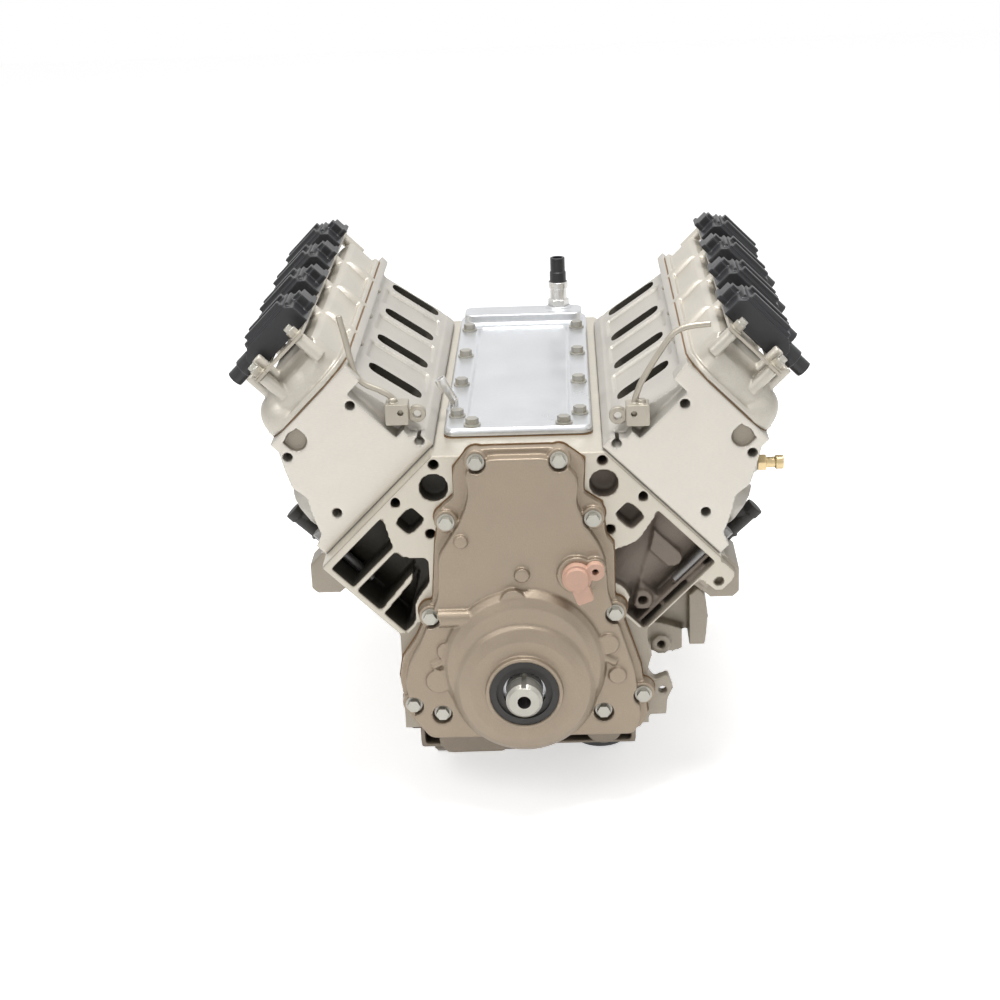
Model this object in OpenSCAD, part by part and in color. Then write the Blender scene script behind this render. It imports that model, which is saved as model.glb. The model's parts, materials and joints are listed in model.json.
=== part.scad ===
// Ninety degree V8 long block, seen with its front at -Y, its top at +Z and the crankshaft axis on Y.

/* [Layout] */
// Angle between the two cylinder banks
bank_angle = 90; // [84:1:96]
// Distance between neighbouring cylinders of one bank
bore_spacing = 111.76; // [110:0.5:116]
// How far the bank on the left lies behind the one on the right
bank_stagger = 24; // [22:0.5:26]
// Centre of the first main bearing behind the front face of the block
first_main_y = 28; // [26:0.5:32]
// Length of the block
block_length = 517; // [512:1:530]
// Height of the deck above the crankshaft axis, along the bank
deck_height = 234.7; // [233:0.5:240]
// Distance between camshaft and crankshaft axes
cam_height = 124.8; // [123:0.2:127]

/* [Cylinders] */
// Diameter of a cylinder
bore = 103.25; // [96:0.25:104]
// Travel of a piston
stroke = 92; // [86:0.5:93]
// Distance between the eyes of a connecting rod
rod_length = 154.9; // [154:0.1:157]
// Wall of a cylinder liner
liner_wall = 2.6; // [2:0.1:3]
// Length of a cylinder liner
liner_length = 140; // [130:1:142]
// Gap between piston skirt and liner
piston_gap = 0.3; // [0.2:0.05:0.5]
// Length of a piston below its pin
skirt_drop = 27; // [22:0.5:27.5]
// Diameter of a wrist pin
wrist_pin_d = 24; // [20:0.5:25]

/* [Crankshaft] */
// Diameter of the main journals
main_journal_d = 65; // [60:0.5:68]
// Diameter of the rod journals
rod_journal_d = 53.3; // [50:0.1:56]
// Radius of the counterweights
counterweight_r = 78; // [70:0.5:79]
// Thickness of a crankshaft web
web_thickness = 14; // [12:0.5:15]
// Diameter of the snout
snout_d = 37.6; // [34:0.2:40]
// Reach of the snout in front of the block
snout_reach = 75; // [72:1:80]
// Radius of the threaded hole in the snout
snout_hole_r = 7; // [5:0.5:8]
// Diameter of the rear flange
flange_d = 98; // [94:1:104]
// Circle of the flywheel bolts
flywheel_pcd = 79; // [76:0.5:82]
// Radius of a flywheel bolt hole
flywheel_hole_r = 5.25; // [4.5:0.25:6]
// Radius of the pilot bore
pilot_r = 11; // [9:0.5:14]

/* [Camshaft] */
// Diameter of the cam journals
cam_journal_d = 55; // [52:0.5:56]
// Radius of the cam base circle
cam_base_r = 19; // [17:0.5:20]
// Lift of a cam lobe
cam_lift = 7; // [5:0.25:7.5]
// Thickness of the cam bearing shells
cam_bearing_wall = 2; // [1.5:0.25:2.5]

/* [Block] */
// Drop of the pan rail below the crankshaft axis
pan_rail_drop = 64; // [60:1:68]
// Half width of the skirt
skirt_half = 130; // [126:1:134]
// Reach of a deck to the outboard side of the bores
deck_outboard = 60; // [58:0.5:62]
// Height of the valley rail above the crankshaft axis
valley_height = 243; // [241:0.5:245]
// Thickness of the deck above the front pockets
deck_flange = 9; // [7:0.5:12]
// Thickness of the outboard rim of the front pockets
pocket_rim = 7; // [5:0.5:9]
// Thickness of the ribs between the front pockets
rib_wall = 6; // [4:0.5:8]
// Width of a main bearing cap
main_cap_width = 24; // [20:0.5:26]
// Radius of the water port on each side of the front face
water_port_r = 14.5; // [12:0.5:16]
// Half spacing of the water ports
water_port_x = 87; // [84:0.5:90]
// Height of the water ports
water_port_z = 209; // [205:0.5:212]
// Radius of the threaded accessory holes
accessory_hole_r = 5; // [4:0.25:5.5]
// Thickness of the rear flange
rear_flange_wall = 14; // [12:1:18]

/* [Heads] */
// Length of a head
head_length = 467; // [464:1:470]
// Set back of the right head from the block face
head_setback = 4; // [2:0.5:6]
// Height of a head from the deck to its cover rail
head_height = 123.3; // [122:0.1:126]
// Width of an intake port along the head
port_width = 28; // [24:0.5:28]
// Height of an intake port along the intake face
port_height = 64; // [58:1:66]
// Place of an intake port behind its cylinder axis
port_shift = 44; // [43:0.5:45]
// Radius of an exhaust port
exhaust_r = 17; // [14:0.5:18]

/* [Covers] */
// Wall of the front cover
cover_wall = 5; // [4:0.5:7]
// Depth of the front cover over the timing chain
cover_depth = 26; // [25:0.5:29]
// Reach of the crankshaft dome in front of the block
dome_reach = 48; // [46:0.5:52]
// Outer radius of the crankshaft dome
dome_r = 79; // [76:0.5:80]
// Radius of the front seal
seal_r = 36; // [34:0.5:38]
// Height of a valve cover above the head rail
rocker_cover_height = 46; // [42:0.5:50]
// Wall of a valve cover
rocker_cover_wall = 4; // [3:0.5:5]
// Width of the valley cover
valley_width = 156; // [150:1:160]
// Thickness of the valley cover
valley_wall = 6; // [5:0.5:8]
// Thickness of the gaskets
gasket = 1; // [0.5:0.1:1.5]

/* [Oil pan] */
// Depth of the sump below the crankshaft axis
sump_depth = 152; // [146:1:160]
// Depth of the shallow front of the pan below the crankshaft axis
shallow_depth = 96; // [88:1:104]
// Start of the sump behind the front face
sump_start = 107; // [96:1:120]
// Wall of the pan
pan_wall = 5; // [4:0.5:6]
// Radius of the oil filter
filter_r = 33; // [30:0.5:34]

/* [Coils] */
// Length of a coil across the cover
coil_length = 76; // [70:1:80]
// Width of a coil along the cover
coil_width = 56; // [50:1:60]
// Height of a coil
coil_height = 26; // [22:1:30]
// Radius of a coil's boot tower
tower_r = 9; // [7:0.5:10]

/* [Hidden] */
fine = 64;
half_v = bank_angle / 2;
crank_r = stroke / 2;
cylinder_count = 4;
main_count = cylinder_count + 1;
running = 0.04;
contact = 0.02;
liner_r = bore / 2 + liner_wall;
piston_r = bore / 2 - piston_gap;
crown_height = deck_height - crank_r - rod_length;
main_bearing_r = main_journal_d / 2 + running;
main_housing_r = main_journal_d / 2 + 2.4;
bulkhead_half = main_cap_width / 2 + 2;
crank_bay_r = counterweight_r + 14;
bay_half = skirt_half - 14;
front_window = 73;
bore_foot_n = sqrt(pow(crank_bay_r, 2) - pow(liner_r, 2)) - 1;
cam_tunnel_r = cam_journal_d / 2 + running + cam_bearing_wall;
crank_throws = [0, 270, 90, 180];
firing_slots = [[0, 2], [7, 3], [6, 4], [5, 1]];
valve_shift = 22;
rail_n = deck_height + head_height;
rear_y = block_length;
half_width_at_rail = deck_height / sin(half_v) - valley_height;
// Distance of the lifter axes from the bore axis towards the valley
lifter_v = -cam_height * sin(half_v);
lifter_n = cam_height * cos(half_v);
lifter_r = 10.7;
peak_r = cam_base_r + cam_lift;
lifter_top = lifter_n + peak_r + 62;
rocker_n = rail_n + 14;
valve_tilt = 15;
valve_foot_n = deck_height + 10;
valve_foot_v = -4;
valve_length = 118;
valve_tip_v = valve_foot_v - valve_length * sin(valve_tilt);
valve_tip_n = valve_foot_n + valve_length * cos(valve_tilt);
spring_seat_n = rail_n - 58;
intake_face_low = -102;
intake_face_high = -114;
head_outboard = deck_outboard - 4;
flange_lip = 6;
cover_base_n = rail_n + gasket;
cover_top_n = rail_n + rocker_cover_height;
cover_inboard = intake_face_high;
cover_outboard = 4;
coil_base_n = cover_top_n + 6;
coil_v = -112;
seal_face_y = -(dome_reach + 8);
chain_pitch = 9.525;
crank_teeth = 21;
cam_teeth = 2 * crank_teeth;
crank_pitch_r = chain_pitch * crank_teeth / (2 * PI);
cam_pitch_r = chain_pitch * cam_teeth / (2 * PI);
roller_r = 2.6;
sprocket_front = -13;
sprocket_width = 6;
pump_lobes = 6;
pump_eccentricity = 3.2;
pump_tooth_r = 9;
pump_circle_r = 34;
pump_rotor_r = 48;
pump_front = -42;
pump_back = -21;
pump_chamber_front = -38;
pump_chamber_back = -25;
pump_body_r = 57;
bolt_r = 4;
bolt_hole_r = 4.3;
bolt_head_r = 7;
bolt_head_height = 6;
washer_r = 9;
valley_front = 55;
valley_rear = 505;
valley_z = valley_height + gasket;
vent_x = -69;
vent_y = 121;
sensor_y = 486;
sensor_x = 44;
valley_step = 14;
pan_rail_z = -pan_rail_drop;
pan_flange = 10;
pan_start_y = 2;
pan_end_y = block_length - 6;
filter_x = 80;
filter_y = 138;
drain_x = -40;
drain_y = pan_end_y - 22;
drain_z = -sump_depth + 20;

function bank_shift(side) = side > 0 ? 0 : bank_stagger;
function main_y(k) = first_main_y + k * bore_spacing;
function pin_y(k) = main_y(k) + bore_spacing / 2;
function bore_y(side, k) = pin_y(k) - side * bank_stagger / 2;
function head_y(side) = head_setback + bank_shift(side);
function phase(side, k) = crank_throws[k] - side * half_v;
function piston_pin_n(side, k) =
    crank_r * cos(phase(side, k)) + sqrt(pow(rod_length, 2) - pow(crank_r * sin(phase(side, k)), 2));
function rod_lean(side, k) = -side * asin(crank_r * sin(phase(side, k)) / rod_length);
function polar(r, a) = [r * cos(a), r * sin(a)];

// Shared shapes

// Places its children in the frame of a bank: X outboard, Y rearward, Z up along the bores
module bank(side) {
    if (side > 0) rotate([0, half_v, 0]) children();
    else mirror([1, 0, 0]) rotate([0, half_v, 0]) children();
}

// Extrudes an outline of X and Z from one place on Y to another
module along_y(y0, y1) {
    translate([0, y1, 0]) rotate([90, 0, 0]) linear_extrude(y1 - y0) children();
}

module rod_y(r, y0, y1, segments = fine) {
    translate([0, y0, 0]) rotate([-90, 0, 0]) cylinder(r = r, h = y1 - y0, $fn = segments);
}

module rod_z(r, z0, z1, segments = fine) {
    translate([0, 0, z0]) cylinder(r = r, h = z1 - z0, $fn = segments);
}

module box(x0, x1, y0, y1, z0, z1) {
    translate([x0, y0, z0]) cube([x1 - x0, y1 - y0, z1 - z0]);
}

// A rounded rectangle with exact arcs, from one corner to the other
module round_rect(x0, x1, y0, y1, r) {
    translate([x0 + r, y0]) square([x1 - x0 - 2 * r, y1 - y0]);
    translate([x0, y0 + r]) square([x1 - x0, y1 - y0 - 2 * r]);
    for (x = [x0 + r, x1 - r], y = [y0 + r, y1 - r])
        translate([x, y]) circle(r, $fn = fine);
}

// A straight round bar between two points
module bar(a, b, r) {
    d = b - a;
    length = norm(d);
    translate(a) rotate([0, acos(d[2] / length), atan2(d[1], d[0])])
        cylinder(r = r, h = length, $fn = 32);
}

// A pipe along straight runs, each run on a little way past its bends so that they meet
module pipe(points, r) {
    last = len(points) - 2;
    for (i = [0 : last]) {
        run = points[i + 1] - points[i];
        past = run * r * 0.38 / norm(run);
        bar(points[i] - (i > 0 ? past : [0, 0, 0]), points[i + 1] + (i < last ? past : [0, 0, 0]), r);
    }
}

// A flanged hexagon bolt whose head points up, seated at the origin
module bolt(shank) {
    rod_z(washer_r, 0, 2);
    rod_z(bolt_head_r, 1.9, 2 + bolt_head_height, 6);
    rod_z(bolt_r, -shank, 0.1);
}

// The same bolt with its head pointing forward, seated at a given Y
module front_bolt(x, y, z, shank) {
    translate([x, y, z]) rotate([90, 0, 0]) bolt(shank);
}

// Engine block

skirt_z = deck_height * cos(half_v) - deck_outboard * sin(half_v);

module block_outline() {
    wall_n = (skirt_half - deck_outboard * cos(half_v)) / sin(half_v);
    wall_z = wall_n * cos(half_v) - deck_outboard * sin(half_v);
    corner_x = deck_height * sin(half_v) + deck_outboard * cos(half_v);
    right = [
        [skirt_half, pan_rail_z], [skirt_half, wall_z], [corner_x, skirt_z],
        [half_width_at_rail, valley_height]
    ];
    left = [for (i = [3 : -1 : 0]) [-right[i][0], right[i][1]]];
    polygon(concat(right, left));
}

accessory_holes = [[86, 234], [127, 193.5], [92.5, 158.5]];

// Pockets in the front of the left bank, open to the front, round the barrel of its first cylinder
module left_front_pockets() {
    top = deck_height - deck_flange;
    rim = deck_outboard - pocket_rim;
    difference() {
        along_y(-1, 74) {
            polygon([[-25, top], [rim, top], [rim, top - 30], [-8, top - 30]]);
            polygon([[-6, top - 30 - rib_wall], [rim, top - 30 - rib_wall], [rim, top - 68], [-6, top - 63]]);
            polygon([[-7, top - 63 - rib_wall], [rim, top - 68 - rib_wall], [rim, top - 105]]);
        }
        translate([0, bore_y(-1, 0), 0]) rod_z(liner_r + 8, 0, 300);
    }
}

// Open cavity in the front of the right bank, with its pad and bolt boss
module right_front_cavity() {
    top = deck_height - deck_flange;
    rim = deck_outboard - pocket_rim + 4;
    difference() {
        along_y(-1, 40) polygon([[-26, top], [rim, top], [rim, top - 104], [30, top - 104], [-2, top - 46]]);
        translate([0, bore_y(1, 0), 0]) rod_z(liner_r + 6, 0, 300);
        translate([2, 0, 197]) along_y(6, 41) round_rect(-32, 32, -10, 10, 9.5);
        translate([34, 0, 143]) rod_y(10.5, 2, 41);
        translate([0, 0, top - 76]) box(20, rim + 1, 12, 41, 0, 5);
        translate([rim - 10, 0, 0]) box(0, 4, 8, 41, top - 104, top);
    }
}

module block_side_mount(side) {
    mirror([side > 0 ? 0 : 1, 0, 0]) difference() {
        box(skirt_half - 1, skirt_half + mount_pad, mount_y - 42, mount_y + 42, -44, 32);
        for (y = [-1, 1], z = [-1, 1])
            translate([skirt_half - 20, mount_y + y * mount_spacing_y / 2, mount_z + z * mount_spacing_z / 2])
                rotate([0, 90, 0]) rod_z(mount_hole_r, 0, 60);
    }
}
mount_pad = 8;
mount_y = 250;
mount_z = -6;
mount_spacing_y = 64;
mount_spacing_z = 52;
mount_hole_r = 4.25;

bell_holes = [[68, 196], [150, 128], [178, 20], [138, -46]];
bell_hole_r = 5;

module rear_flange_outline() {
    intersection() {
        union() {
            circle(192, $fn = fine);
            for (p = bell_holes, s = [-1, 1]) translate([s * p[0], p[1]]) circle(15, $fn = fine);
        }
        translate([-300, pan_rail_z]) square([600, 500]);
    }
}

module block_shell() {
    along_y(0, rear_y) block_outline();
    along_y(rear_y - rear_flange_wall, rear_y) rear_flange_outline();
    // Machined ear beside the right deck, and the cast pads under both decks
    bank(1) difference() {
        translate([deck_outboard + 12, 0, deck_height - 22]) along_y(0, 12) round_rect(-14, 13, -10, 20, 8);
        translate([deck_outboard + 15.5, 0, deck_height - 21.5]) rod_y(accessory_hole_r, -1, 13);
    }
    for (side = [-1, 1]) bank(side)
        box(deck_outboard - 1, deck_outboard + 13, bore_y(side, 0) - 58 - side * 12, bore_y(side, 0) - 20,
            deck_height - 38, deck_height - 4);
    for (side = [-1, 1]) bank(side) for (k = [0 : cylinder_count - 1])
        box(deck_outboard - 1, deck_outboard + 5, bore_y(side, k) + 50, bore_y(side, k) + 58,
            deck_height - 100, deck_height - 1);
}

module engine_block() {
    color("lightgray") {
        difference() {
            block_shell();
            for (side = [-1, 1]) bank(side) for (k = [0 : cylinder_count - 1])
                translate([0, bore_y(side, k), 0]) rod_z(liner_r, bore_foot_n, deck_height + 5);
            for (k = [0 : cylinder_count - 1]) {
                crank_bay(main_y(k) + bulkhead_half, main_y(k + 1) - bulkhead_half);
            }
            box(-bay_half, bay_half, main_y(4) + bulkhead_half, rear_y - 12, pan_rail_z - 1, 0);
            rod_y(crank_bay_r * 0.6, main_y(4) + bulkhead_half, rear_y - 12);
            for (k = [0 : main_count - 1])
                box(-bay_half, bay_half, main_y(k) - bulkhead_half - 0.5,
                    main_y(k) + bulkhead_half + 0.5, pan_rail_z - 1, 0);
            box(-front_window, front_window, -1, main_y(0), pan_rail_z - 1, 0);
            rod_y(main_housing_r, -1, main_y(4) + bulkhead_half + 1);
            rod_y(flange_d / 2 + 4, rear_y - 13, rear_y + 1);
            translate([0, 0, cam_height]) rod_y(cam_tunnel_r, -1, rear_y - 14);
            lifter_bores();
            bank(-1) left_front_pockets();
            bank(1) right_front_cavity();
            bank(1) translate([34, 0, 143]) rod_y(accessory_hole_r, -1, 20);
            for (s = [-1, 1]) {
                for (p = accessory_holes)
                    translate([s * p[0], 0, p[1]]) rod_y(accessory_hole_r, -1, 28);
                translate([s * water_port_x, 0, water_port_z]) rod_y(water_port_r, -1, 22);
                translate([s * 113, 0, 173]) rotate([0, s * half_v, 0])
                    along_y(-1, 24) round_rect(-12, 12, -10, 10, 5);
                for (p = bell_holes)
                    translate([s * p[0], 0, p[1]]) rod_y(bell_hole_r, rear_y - 30, rear_y + 1);
                for (p = front_bolts)
                    translate([s * p[0], 0, p[1]]) rod_y(bolt_r + contact, -1, 14.5);
                for (p = low_front_bolts(s))
                    translate([p[0], 0, p[1]]) rod_y(bolt_r + contact, -1, 14.5);
            }
            for (p = valley_bolts)
                translate([p[0], p[1], 0]) rod_z(bolt_r + contact, valley_height - 15, valley_height + 1);
            head_bolt_holes(deck_height - 60, deck_height + 1);
        }
        for (side = [-1, 1]) block_side_mount(side);
    }
}

module crank_bay(y0, y1) {
    rod_y(crank_bay_r, y0, y1);
    box(-bay_half, bay_half, y0 - 0.01, y1 + 0.01, pan_rail_z - 1, -20);
}

module lifter_bores() {
    for (side = [-1, 1]) bank(side) for (k = [0 : cylinder_count - 1], s = [-1, 1])
        translate([lifter_v, bore_y(side, k) + s * valve_shift, 0])
            rod_z(lifter_r + running, lifter_n, deck_height + 1);
}

front_bolts = [[42, 242], [75, 178], [96, 73]];
function low_front_bolts(s) = s > 0 ? [[124, -21], [82, -38]] : [[-118, -27], [-88, -37]];
valley_bolts = concat(
    [for (s = [-1, 1], k = [0 : 3]) [s * 65, 98 + k * 111.76]],
    [[-48, valley_front + 12], [48, valley_front + 12]]
);

// Cylinder liners, pistons and connecting rods

module cylinder_liners() {
    color("dimgray") for (side = [-1, 1]) bank(side) for (k = [0 : cylinder_count - 1])
        translate([0, bore_y(side, k), 0]) difference() {
            rod_z(liner_r, deck_height - liner_length, deck_height);
            rod_z(bore / 2, deck_height - liner_length - 1, deck_height + 1);
        }
}

ring_gap = 0.05;
ring_heights = [24, 16];

module piston(side, k) {
    n = piston_pin_n(side, k);
    color("silver") bank(side) translate([0, bore_y(side, k), n]) {
        difference() {
            rod_z(piston_r, -skirt_drop, crown_height);
            // Inside of the skirt and the slipper cut-outs beside the pin
            rod_z(piston_r - 6, -skirt_drop - 1, crown_height - 16);
            for (s = [-1, 1]) box(-60, 60, s > 0 ? 38 : -60, s > 0 ? 60 : -38, -skirt_drop - 1, 6);
            rod_y(wrist_pin_d / 2 + running, -60, 60);
            for (z = ring_heights) translate([0, 0, z]) difference() {
                rod_z(piston_r + 2, 0, 2.2);
                rod_z(piston_r - 3.4, -1, 4);
            }
            for (s = [-1, 1]) translate([-8, s * 21.5, crown_height - 2]) rod_z(20, 0, 4);
        }
        for (s = [-1, 1]) difference() {
            box(-17, 17, s > 0 ? 15 : -37, s > 0 ? 37 : -15, -15, crown_height - 15.9);
            rod_y(wrist_pin_d / 2 + running, -60, 60);
        }
        rod_y(wrist_pin_d / 2, -36.5, 36.5);
        for (z = ring_heights) translate([0, 0, z + ring_gap]) difference() {
            rod_z(bore / 2 - 0.03, 0, 2.1);
            rod_z(piston_r - 3.3, -1, 4);
        }
    }
}

rod_width = 23;
big_eye_r = rod_journal_d / 2 + 6.5;
small_eye_r = wrist_pin_d / 2 + 5;

module connecting_rod(side, k) {
    n = piston_pin_n(side, k);
    // A rod lies beside its neighbour on the same crankpin
    color("gray") bank(side) translate([0, bore_y(side, k), n]) rotate([0, rod_lean(side, k), 0])
        difference() {
            union() {
                translate([0, 0, -rod_length]) rod_y(big_eye_r, -rod_width / 2, rod_width / 2);
                rod_y(small_eye_r, -rod_width / 2, rod_width / 2);
                along_y(-rod_width / 2, rod_width / 2)
                    polygon([[-17, -rod_length + 20], [17, -rod_length + 20], [10, -12], [-10, -12]]);
                for (s = [-1, 1]) translate([s * (big_eye_r + 1), 0, -rod_length]) rod_z(7, -16, 18);
            }
            translate([0, 0, -rod_length]) rod_y(rod_journal_d / 2 + running, -20, 20);
            rod_y(wrist_pin_d / 2 + running, -20, 20);
            for (s = [-1, 1]) along_y(s > 0 ? 5 : -rod_width / 2 - 1, s > 0 ? rod_width / 2 + 1 : -5)
                polygon([[-9, -rod_length + 42], [9, -rod_length + 42], [6, -24], [-6, -24]]);
        }
}

// Crankshaft

module crank_web(y, angle) {
    rotate([0, angle, 0]) along_y(y, y + web_thickness) intersection() {
        union() {
            translate([0, crank_r]) circle(rod_journal_d / 2 + 8, $fn = fine);
            polygon([[-34, crank_r], [34, crank_r], [56, -10], [-56, -10]]);
            intersection() {
                circle(counterweight_r, $fn = fine);
                translate([-66, -100]) square([132, 92]);
            }
        }
        circle(counterweight_r, $fn = fine);
    }
}

module crankshaft() {
    pin_half = rod_width + 1.2;
    main_half = bore_spacing / 2 - pin_half - web_thickness + 1;
    color("slategray") difference() {
        union() {
            rod_y(snout_d / 2, -snout_reach, main_y(0) - 13);
            rod_y(main_journal_d / 2, main_y(0) - bulkhead_half - 1, main_y(0) + main_half);
            for (k = [1 : main_count - 1])
                rod_y(main_journal_d / 2, main_y(k) - main_half, main_y(k) + main_half);
            rod_y(40, main_y(4) + 14.5, rear_y + 2);
            rod_y(flange_d / 2, rear_y + 1, rear_y + 20);
            for (k = [0 : cylinder_count - 1]) {
                a = crank_throws[k];
                rotate([0, a, 0]) translate([0, 0, crank_r])
                    rod_y(rod_journal_d / 2, pin_y(k) - pin_half - 1, pin_y(k) + pin_half + 1);
                crank_web(pin_y(k) - pin_half - web_thickness, a);
                crank_web(pin_y(k) + pin_half, a);
            }
        }
        rod_y(snout_hole_r, -snout_reach - 1, -snout_reach + 45);
        // Relief groove behind the pulley seat
        difference() {
            rod_y(snout_d / 2 + 1, -snout_reach + 20, -snout_reach + 22);
            rod_y(snout_d / 2 - 0.5, -snout_reach, 0);
        }
        rod_y(pilot_r, rear_y - 8, rear_y + 21);
        for (i = [0 : 5]) rotate([0, i * 60 + 15, 0]) translate([0, 0, flywheel_pcd / 2])
            rod_y(flywheel_hole_r, rear_y, rear_y + 21);
        box(-2.5, 2.5, -snout_reach - 1, -snout_reach + 30, snout_d / 2 - 3, snout_d / 2 + 1);
    }
}

module main_bearing_caps() {
    color("gray") for (k = [0 : main_count - 1]) translate([0, main_y(k), 0]) difference() {
        along_y(-main_cap_width / 2, main_cap_width / 2) polygon([
            [-bay_half, 0], [bay_half, 0], [bay_half, -22], [72, -34], [38, -42], [26, -58],
            [-26, -58], [-38, -42], [-72, -34], [-bay_half, -22]
        ]);
        rod_y(main_housing_r, -20, 20);
    }
}

module main_bearings() {
    color("silver") for (k = [0 : main_count - 1]) difference() {
        rod_y(main_housing_r, main_y(k) - 11, main_y(k) + 11);
        rod_y(main_bearing_r, main_y(k) - 12, main_y(k) + 12);
    }
}

// Camshaft and timing drive

lobe_width = 12;

module cam_lobe(y, angle) {
    nose_r = 11;
    rotate([0, angle, 0]) along_y(y - lobe_width / 2, y + lobe_width / 2) {
        circle(cam_base_r, $fn = fine);
        translate([0, peak_r - nose_r]) circle(nose_r, $fn = fine);
        polygon([[-cam_base_r + 0.6, 2], [-nose_r + 0.5, peak_r - nose_r + 2],
            [nose_r - 0.5, peak_r - nose_r + 2], [cam_base_r - 0.6, 2]]);
    }
}

module camshaft() {
    color("slategray") translate([0, 0, cam_height]) difference() {
        union() {
            rod_y(15, -5, main_y(4) + 12);
            rod_y(20, -4.9, main_y(0) - 10);
            for (k = [0 : main_count - 1]) rod_y(cam_journal_d / 2, main_y(k) - 11, main_y(k) + 11);
            for (side = [-1, 1], k = [0 : cylinder_count - 1], s = [-1, 1])
                cam_lobe(bore_y(side, k) + s * valve_shift,
                    side * half_v - 45 * firing_slots[k][side > 0 ? 0 : 1] + s * 56 + 30);
        }
        rod_y(5, -6, 30);
    }
}

module cam_bearings() {
    color("silver") translate([0, 0, cam_height]) for (k = [0 : main_count - 1]) difference() {
        rod_y(cam_tunnel_r, main_y(k) - 10, main_y(k) + 10);
        rod_y(cam_journal_d / 2 + running, main_y(k) - 11, main_y(k) + 11);
    }
}

module cam_retainer_plate() {
    color("gray") translate([0, 0, cam_height]) difference() {
        along_y(-3, 0) round_rect(-44, 44, -34, 34, 12);
        rod_y(20 + running, -4, 1);
    }
}

// Points of a sprocket: each tooth has two points at its root and two at its tip
function sprocket_points(teeth, pitch_r) = [
    for (i = [0 : teeth - 1], j = [0 : 3])
        polar(j == 0 || j == 3 ? pitch_r - 3.1 : pitch_r + 1.9,
            90 + (i + 0.5 + [-0.19, -0.09, 0.09, 0.19][j]) * 360 / teeth)
];

module crank_sprocket() {
    color("gray") difference() {
        along_y(sprocket_front, sprocket_front + sprocket_width)
            polygon(sprocket_points(crank_teeth, crank_pitch_r));
        rod_y(snout_d / 2 + contact, sprocket_front - 1, 0);
    }
}

module cam_sprocket() {
    color("gray") translate([0, 0, cam_height]) {
        difference() {
            union() {
                along_y(sprocket_front, sprocket_front + sprocket_width)
                    polygon(sprocket_points(cam_teeth, cam_pitch_r));
                rod_y(26, sprocket_front - 2, -5.1);
            }
            for (i = [0 : 4]) rotate([0, i * 72, 0]) translate([0, 0, 42]) rod_y(9, -20, 0);
            rod_y(5.2, -20, 0);
        }
        // Centre bolt that holds the sprocket on the shaft
        rod_y(9, sprocket_front - 6, sprocket_front - 2 - contact, 6);
    }
}

module belt_outline(grow) {
    hull() {
        circle(crank_pitch_r + grow, $fn = fine);
        translate([0, cam_height]) circle(cam_pitch_r + grow, $fn = fine);
    }
}

module chain_plate(y0, y1) {
    along_y(y0, y1) difference() {
        belt_outline(4);
        belt_outline(-4);
    }
}

// The chain: two side plates round both sprockets, joined by its rollers
module timing_chain() {
    wrap = asin((cam_pitch_r - crank_pitch_r) / cam_height);
    top = cam_teeth / 2 + cam_teeth * wrap / 180;
    low = crank_teeth / 2 - crank_teeth * wrap / 180;
    run = cam_height * cos(wrap);
    cam_half = floor(top / 2);
    crank_half = floor(low / 2 - 0.5) + 0.5;
    cam_gap = (cam_half + 1 - top / 2) * chain_pitch;
    crank_gap = (crank_half + 1 - low / 2) * chain_pitch;
    span = run - cam_gap - crank_gap;
    count = round(span / chain_pitch);
    color("dimgray") {
        chain_plate(sprocket_front - 1.8, sprocket_front - 0.3);
        chain_plate(sprocket_front + sprocket_width + 0.3, sprocket_front + sprocket_width + 1.8);
        for (i = [-cam_half : cam_half]) translate([0, 0, cam_height])
            rotate([0, i * 360 / cam_teeth, 0]) translate([0, 0, cam_pitch_r]) chain_roller();
        for (i = [-crank_half : crank_half])
            rotate([0, 180 + i * 360 / crank_teeth, 0]) translate([0, 0, crank_pitch_r]) chain_roller();
        for (s = [-1, 1], i = [0 : count]) rotate([0, s * wrap, 0])
            translate([s * crank_pitch_r, 0, crank_gap + i * span / count]) chain_roller();
    }
}

module chain_roller() {
    rod_y(roller_r, sprocket_front - 1, sprocket_front + sprocket_width + 1, 16);
}

// Oil pump

// Centre of an outer tooth seen from the inner rotor, and the direction it moves in
function tooth_path(a) =
    pump_eccentricity * [cos((pump_lobes + 1) * a), sin((pump_lobes + 1) * a)] + polar(pump_circle_r, a);
function tooth_heading(a) =
    pump_eccentricity * (pump_lobes + 1) * [-sin((pump_lobes + 1) * a), cos((pump_lobes + 1) * a)]
    + pump_circle_r * [-sin(a), cos(a)];
function inner_rotor_point(a) =
    let (h = tooth_heading(a), reach = pump_tooth_r + 0.35)
    tooth_path(a) + reach * [-h[1], h[0]] / norm(h);

module oil_pump_inner_rotor() {
    steps = 120;
    color("gray") difference() {
        along_y(pump_chamber_front + 0.1, pump_chamber_back - 0.1) rotate(90)
            polygon([for (i = [0 : steps - 1]) inner_rotor_point(i * 360 / steps)]);
        rod_y(snout_d / 2 + contact, pump_front, 0);
    }
}

module oil_pump_outer_rotor() {
    root_r = pump_circle_r - pump_tooth_r + 2 * pump_eccentricity + 0.2;
    color("darkgray") translate([0, 0, pump_eccentricity]) difference() {
        rod_y(pump_rotor_r, pump_chamber_front + 0.1, pump_chamber_back - 0.1);
        difference() {
            rod_y(root_r, pump_front, 0);
            for (i = [0 : pump_lobes]) rotate([0, i * 360 / (pump_lobes + 1), 0])
                translate([0, 0, pump_circle_r]) rod_y(pump_tooth_r, pump_front - 1, 1);
        }
    }
}

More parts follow.
